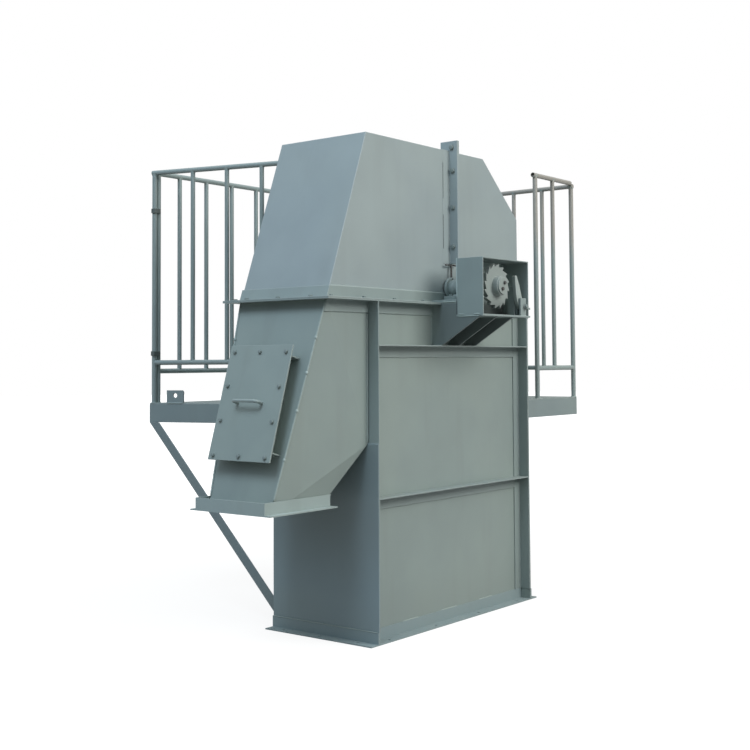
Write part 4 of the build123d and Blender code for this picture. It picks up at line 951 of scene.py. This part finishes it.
class ELEVATOR_OT_welds(bpy.types.Operator):
    """Lays the weld beads of casing, hood, chute, brackets and platform."""

    bl_idname = "elevator.welds"
    bl_label = "Lay welds"

    def execute(self, context):
        weld = context.scene.elevator_weld
        radius, step = weld.radius, weld.step
        seams, shadow_dashes = [], []

        def run(start, end, size=radius):
            seams.append((start, end, size))

        ring_low, ring_high = RING[0, 2], HOOD_RING[1, 2]
        front_top = RING[0, 0] + ANGLE_LEG + 0.018
        half_l = CASING[1, 0]
        for s in (-1, 1):
            y = s * (WALL_Y + 0.001)
            # upright leg of the hood's ring, broken by the shaft's hole
            run((front_top + 0.005, y, ring_high), (-0.042, y, ring_high))
            run((0.042, y, ring_high), (half_l, y, ring_high))
            run((front_top - 0.03, y, ring_low), (-half_l - 0.004, y, ring_low), radius * 0.8)
            for a, b in ((-0.465, -0.13), (-0.121, -0.004), (0.004, 0.121), (0.13, 0.465)):
                run((a, y, ring_low), (b, y, ring_low), radius * 0.8)
            # foot and stiffeners in stitches
            for a, b in ((-0.346, -0.242), (-0.077, 0.043), (0.207, 0.321)):
                run((a, y, FOOT[1, 2]), (b, y, FOOT[1, 2]))
                for z in (0.525, 1.138):
                    run((a - 0.03, y, z), (b - 0.05, y, z), radius * 0.8)
            # chute side against the corner angle; on the hood joint's flat legs, dark dashes of painted
            # shadow along the legs' edges
            run((-half_l - 0.001, y, 0.80), (-half_l - 0.001, y, ring_low - 0.004))
            for x in (JOINT_FRONT[0, 0] + 0.004, JOINT_REAR[1, 0] - 0.004):
                for a, b in ((1.613, 1.768), (1.834, 1.998)):
                    shadow_dashes.append(((x, y, a), (x, y, b), radius * 0.45))
            # rounded seam down the chute's edge, with a few lumps
            top_end = LEAN_TOP + np.array([0.0, s * (WALL_Y - 0.0012), 0.0])
            foot_end = LEAN_LOW + np.array([0.0, s * (OUTLET[1, 1] - 0.0512), 0.0])
            high, low_end = top_end + (foot_end - top_end) * 0.012, top_end + (foot_end - top_end) * 0.940
            run(high, low_end, radius * 1.25)
            for part in (0.19, 0.37, 0.56, 0.80):
                mid = high + (low_end - high) * part
                run(mid - DOWN * 0.011, mid + DOWN * 0.011, radius * 1.9)
            # gussets on the wall and on the stiffener
            for x in GUSSET_EDGES:
                run((x, s * WALL_Y, 1.19), (x, s * WALL_Y, ring_low - 0.002))
                run((x, s * (WALL_Y + 0.002), 1.188), (x, s * 0.287, 1.188))
                run((x, s * 0.289, BRACKETS[1, 2] - 0.010), (x, s * 0.362, BRACKETS[1, 2] - 0.010))
            x = s * (half_l + 0.0042)
            run((x, -0.283, FOOT[1, 2]), (x, 0.283, FOOT[1, 2]), radius * 0.7)
        # front and rear of the rings, and the outlet
        run((half_l + 0.001, -0.2325, ring_high), (half_l + 0.001, 0.2325, ring_high))
        run((-half_l - 0.002, -0.232, 0.7885), (-half_l - 0.002, 0.232, 0.7885))
        # door neck on the chute
        seat = DOOR_MIDDLE - OUT * NECK_DEPTH
        wide, long = 0.156, 0.194
        corners = [seat + DOWN * a + np.array([0, b, 0]) for a, b in
                   ((-long, -wide), (-long, wide), (long, wide), (long, -wide))]
        for k in (0, 2):
            run(corners[k], corners[k + 1])
        # backstop guard on its shelf
        for x in (GUARD[0, 0], GUARD[1, 0]):
            for a, b in ((-0.49, -0.455), (-0.41, -0.375)):
                run((x, a, SHELF[1, 2]), (x, b, SHELF[1, 2]), radius * 0.9)
        for x in GUSSET_EDGES:
            run((x, -0.372, SHELF[0, 2]), (x, -0.482, SHELF[0, 2]), radius * 0.9)
        foot = SHELF[1, 2]
        for x0, x1, y in ((0.172, 0.218, LUG[0, 1]), (0.186, 0.222, -0.458)):
            run((x0, y, foot), (x1, y, foot), radius * 0.9)
        for x in (0.170, 0.178):
            run((x, -0.462, foot), (x, -0.432, foot), radius * 0.8)
        for inward in (0.0006, 0.008):
            a = CORNER + END_IN * inward
            run(a + END_RUN * 0.096, a + END_RUN * 0.186)
        # the dark dashes are painted shadow lines at the joint's flat legs
        for name, lines, material in (("welds", seams, "weld_coat"), ("joint_gap_shadows", shadow_dashes, "painted_shade_coat")):
            shapes = [bead(a, b, size, step, number) for number, (a, b, size) in enumerate(lines)]
            add_piece(name, join(shapes), material, smooth=70)
        return {"FINISHED"}


class ELEVATOR_OT_stage(bpy.types.Operator):
    """Sets the floor, the light and the camera."""

    bl_idname = "elevator.stage"
    bl_label = "Set stage"

    def execute(self, context):
        stage = context.scene.elevator_stage
        scene = context.scene
        self.camera(scene, stage)
        self.floor()
        self.sky(scene, stage)
        self.lamps()
        scene.view_settings.view_transform = "Standard"
        return {"FINISHED"}

    def camera(self, scene, stage):
        """Camera matrix with columns right, up and back; the shift is the centre's miss over the image."""
        yaw, pitch, roll = stage.yaw, stage.pitch, stage.roll
        ahead = Vector((math.cos(yaw), math.sin(yaw), 0))
        right = Vector((math.sin(yaw), -math.cos(yaw), 0))
        up = Vector((0, 0, 1))
        look = ahead * math.cos(pitch) + up * math.sin(pitch)
        lift = up * math.cos(pitch) - ahead * math.sin(pitch)
        side = right * math.cos(roll) + lift * math.sin(roll)
        top = lift * math.cos(roll) - right * math.sin(roll)
        data = bpy.data.cameras.new("camera")
        camera = bpy.data.objects.new("camera", data)
        scene.collection.objects.link(camera)
        turn = Matrix((side, top, -look)).transposed().to_4x4()
        camera.matrix_world = Matrix.Translation(Vector(stage.eye)) @ turn
        data.sensor_width = 36.0
        data.lens = data.sensor_width * stage.focal / IMAGE
        data.shift_x = (IMAGE / 2 - stage.centre[0]) / IMAGE
        data.shift_y = (stage.centre[1] - IMAGE / 2) / IMAGE
        data.clip_end = 200.0
        scene.camera = camera

    def floor(self):
        """Large pale disc whose camera and glossy colour is the white of the backdrop."""
        around = np.arange(64) * (2 * np.pi / 64)
        rim = np.stack([FLOOR_RADIUS * np.cos(around), FLOOR_RADIUS * np.sin(around),
                        np.full(64, -0.0006)], axis=-1)
        mesh = bpy.data.meshes.new("floor")
        mesh.from_pydata(rim.tolist(), [], [list(range(64))])
        floor = bpy.data.objects.new("floor", mesh)
        bpy.context.scene.collection.objects.link(floor)
        material, shader, make = blank("floor")
        shader.inputs["Roughness"].default_value = 1.0
        shader.inputs["Specular IOR Level"].default_value = 0.0
        shader.inputs["Base Color"].default_value = (0.17, 0.17, 0.165, 1)
        glow = make.node("ShaderNodeEmission", Color=(1, 1, 1, 1))
        place = make.split(make.node("ShaderNodeTexCoord").outputs["Object"])
        reach = make.maths("POWER", make.add(make.mul(place.outputs["X"], place.outputs["X"]),
                                             make.mul(place.outputs["Y"], place.outputs["Y"])), 0.5)
        make.link(make.add(0.86, make.mul(make.curve(reach, 1.6, 4.5), 0.3)), glow.inputs["Strength"])
        mixer = make.node("ShaderNodeMixShader")
        path = make.node("ShaderNodeLightPath")
        seen = make.maths("MAXIMUM", path.outputs["Is Camera Ray"], path.outputs["Is Glossy Ray"])
        both = make.node("ShaderNodeAddShader")
        surface = material.node_tree.nodes["Material Output"].inputs["Surface"]
        for source, target in ((shader.outputs[0], both.inputs[0]), (glow.outputs[0], both.inputs[1]),
                               (seen, mixer.inputs[0]), (shader.outputs[0], mixer.inputs[1]),
                               (both.outputs[0], mixer.inputs[2]), (mixer.outputs[0], surface)):
            make.link(source, target)
        mesh.materials.append(material)

    def sky(self, scene, stage):
        """Even sky, brighter overhead and dim below; white to the camera."""
        world = bpy.data.worlds.new("sky")
        scene.world = world
        world.use_nodes = True
        tree = world.node_tree
        make = Maker(tree)
        tree.nodes.clear()
        place = make.node("ShaderNodeTexCoord").outputs["Generated"]
        parts = make.split(place)
        rise = make.curve(parts.outputs["Z"], -0.02, 0.85)
        left = make.curve(parts.outputs["X"], 0.2, -1.0)
        neutral = make.mix((0.16, 0.165, 0.165, 1), (1.55, 1.56, 1.55, 1), rise)
        blue = make.mix((0.12, 0.15, 0.18, 1), (1.15, 1.50, 1.90, 1), rise)
        blue = make.mix(neutral, blue, make.mul(left, 0.75))
        path = make.node("ShaderNodeLightPath")
        seen = make.maths("MAXIMUM", path.outputs["Is Camera Ray"], path.outputs["Is Transmission Ray"])
        light = make.node("ShaderNodeBackground", Strength=stage.sky)
        white = make.node("ShaderNodeBackground", Color=(1, 1, 1, 1), Strength=1.0)
        mixer = make.node("ShaderNodeMixShader")
        out = make.node("ShaderNodeOutputWorld")
        for source, target in ((blue, light.inputs["Color"]), (seen, mixer.inputs[0]),
                               (light.outputs[0], mixer.inputs[1]), (white.outputs[0], mixer.inputs[2]),
                               (mixer.outputs[0], out.inputs["Surface"])):
            make.link(source, target)

    def lamps(self):
        """Two wide soft lamps: one high before the wide side, one high before the chute."""
        for name, place, aim, size, power, colour in (
                ("key", (1.1, -5.9, 4.6), (0.0, 0.0, 1.1), 4.0, 325.0, (1.0, 0.985, 0.960)),
                ("fill", (-4.6, -0.3, 6.2), (-0.5, 0.0, 1.2), 3.0, 205.0, (0.70, 0.84, 1.0))):
            data = bpy.data.lights.new(name, "AREA")
            data.shape = "DISK"
            data.size = size
            data.energy = power
            data.color = colour
            lamp = bpy.data.objects.new(name, data)
            bpy.context.scene.collection.objects.link(lamp)
            look = Vector(aim) - Vector(place)
            turn = look.to_track_quat("-Z", "Y").to_matrix().to_4x4()
            lamp.matrix_world = Matrix.Translation(Vector(place)) @ turn


class ELEVATOR_PT_panel(bpy.types.Panel):
    """Lists the settings and the steps."""

    bl_label = "Elevator head"
    bl_idname = "ELEVATOR_PT_panel"
    bl_space_type = "VIEW_3D"
    bl_region_type = "UI"
    bl_category = "Elevator head"

    def draw(self, context):
        for group in SETTINGS:
            box = self.layout.box()
            settings = getattr(context.scene, group)
            for name in settings.__annotations__:
                box.prop(settings, name)
        for operator in STEPS:
            self.layout.operator(operator.bl_idname)


SETTINGS = {
    "elevator_paint": PaintSettings, "elevator_plate": PlateSettings, "elevator_bolt": BoltSettings,
    "elevator_weld": WeldSettings, "elevator_rail": RailSettings, "elevator_stage": StageSettings,
}
STEPS = (ELEVATOR_OT_finishes, ELEVATOR_OT_plates, ELEVATOR_OT_head, ELEVATOR_OT_bearings,
         ELEVATOR_OT_bolts, ELEVATOR_OT_door_handle, ELEVATOR_OT_railings, ELEVATOR_OT_welds,
         ELEVATOR_OT_stage)


def register():
    for group, kind in SETTINGS.items():
        bpy.utils.register_class(kind)
        setattr(bpy.types.Scene, group, PointerProperty(type=kind))
    for kind in STEPS + (ELEVATOR_PT_panel,):
        bpy.utils.register_class(kind)


def unregister():
    for kind in reversed(STEPS + (ELEVATOR_PT_panel,)):
        bpy.utils.unregister_class(kind)
    for group, kind in SETTINGS.items():
        delattr(bpy.types.Scene, group)
        bpy.utils.unregister_class(kind)


def main():
    """Registers the classes and runs every step."""
    register()
    bpy.ops.elevator.finishes()
    bpy.ops.elevator.plates()
    bpy.ops.elevator.head()
    bpy.ops.elevator.bearings()
    bpy.ops.elevator.bolts()
    bpy.ops.elevator.door_handle()
    bpy.ops.elevator.railings()
    bpy.ops.elevator.welds()
    bpy.ops.elevator.stage()
    bpy.context.view_layer.update()


if __name__ == "__main__":
    main()
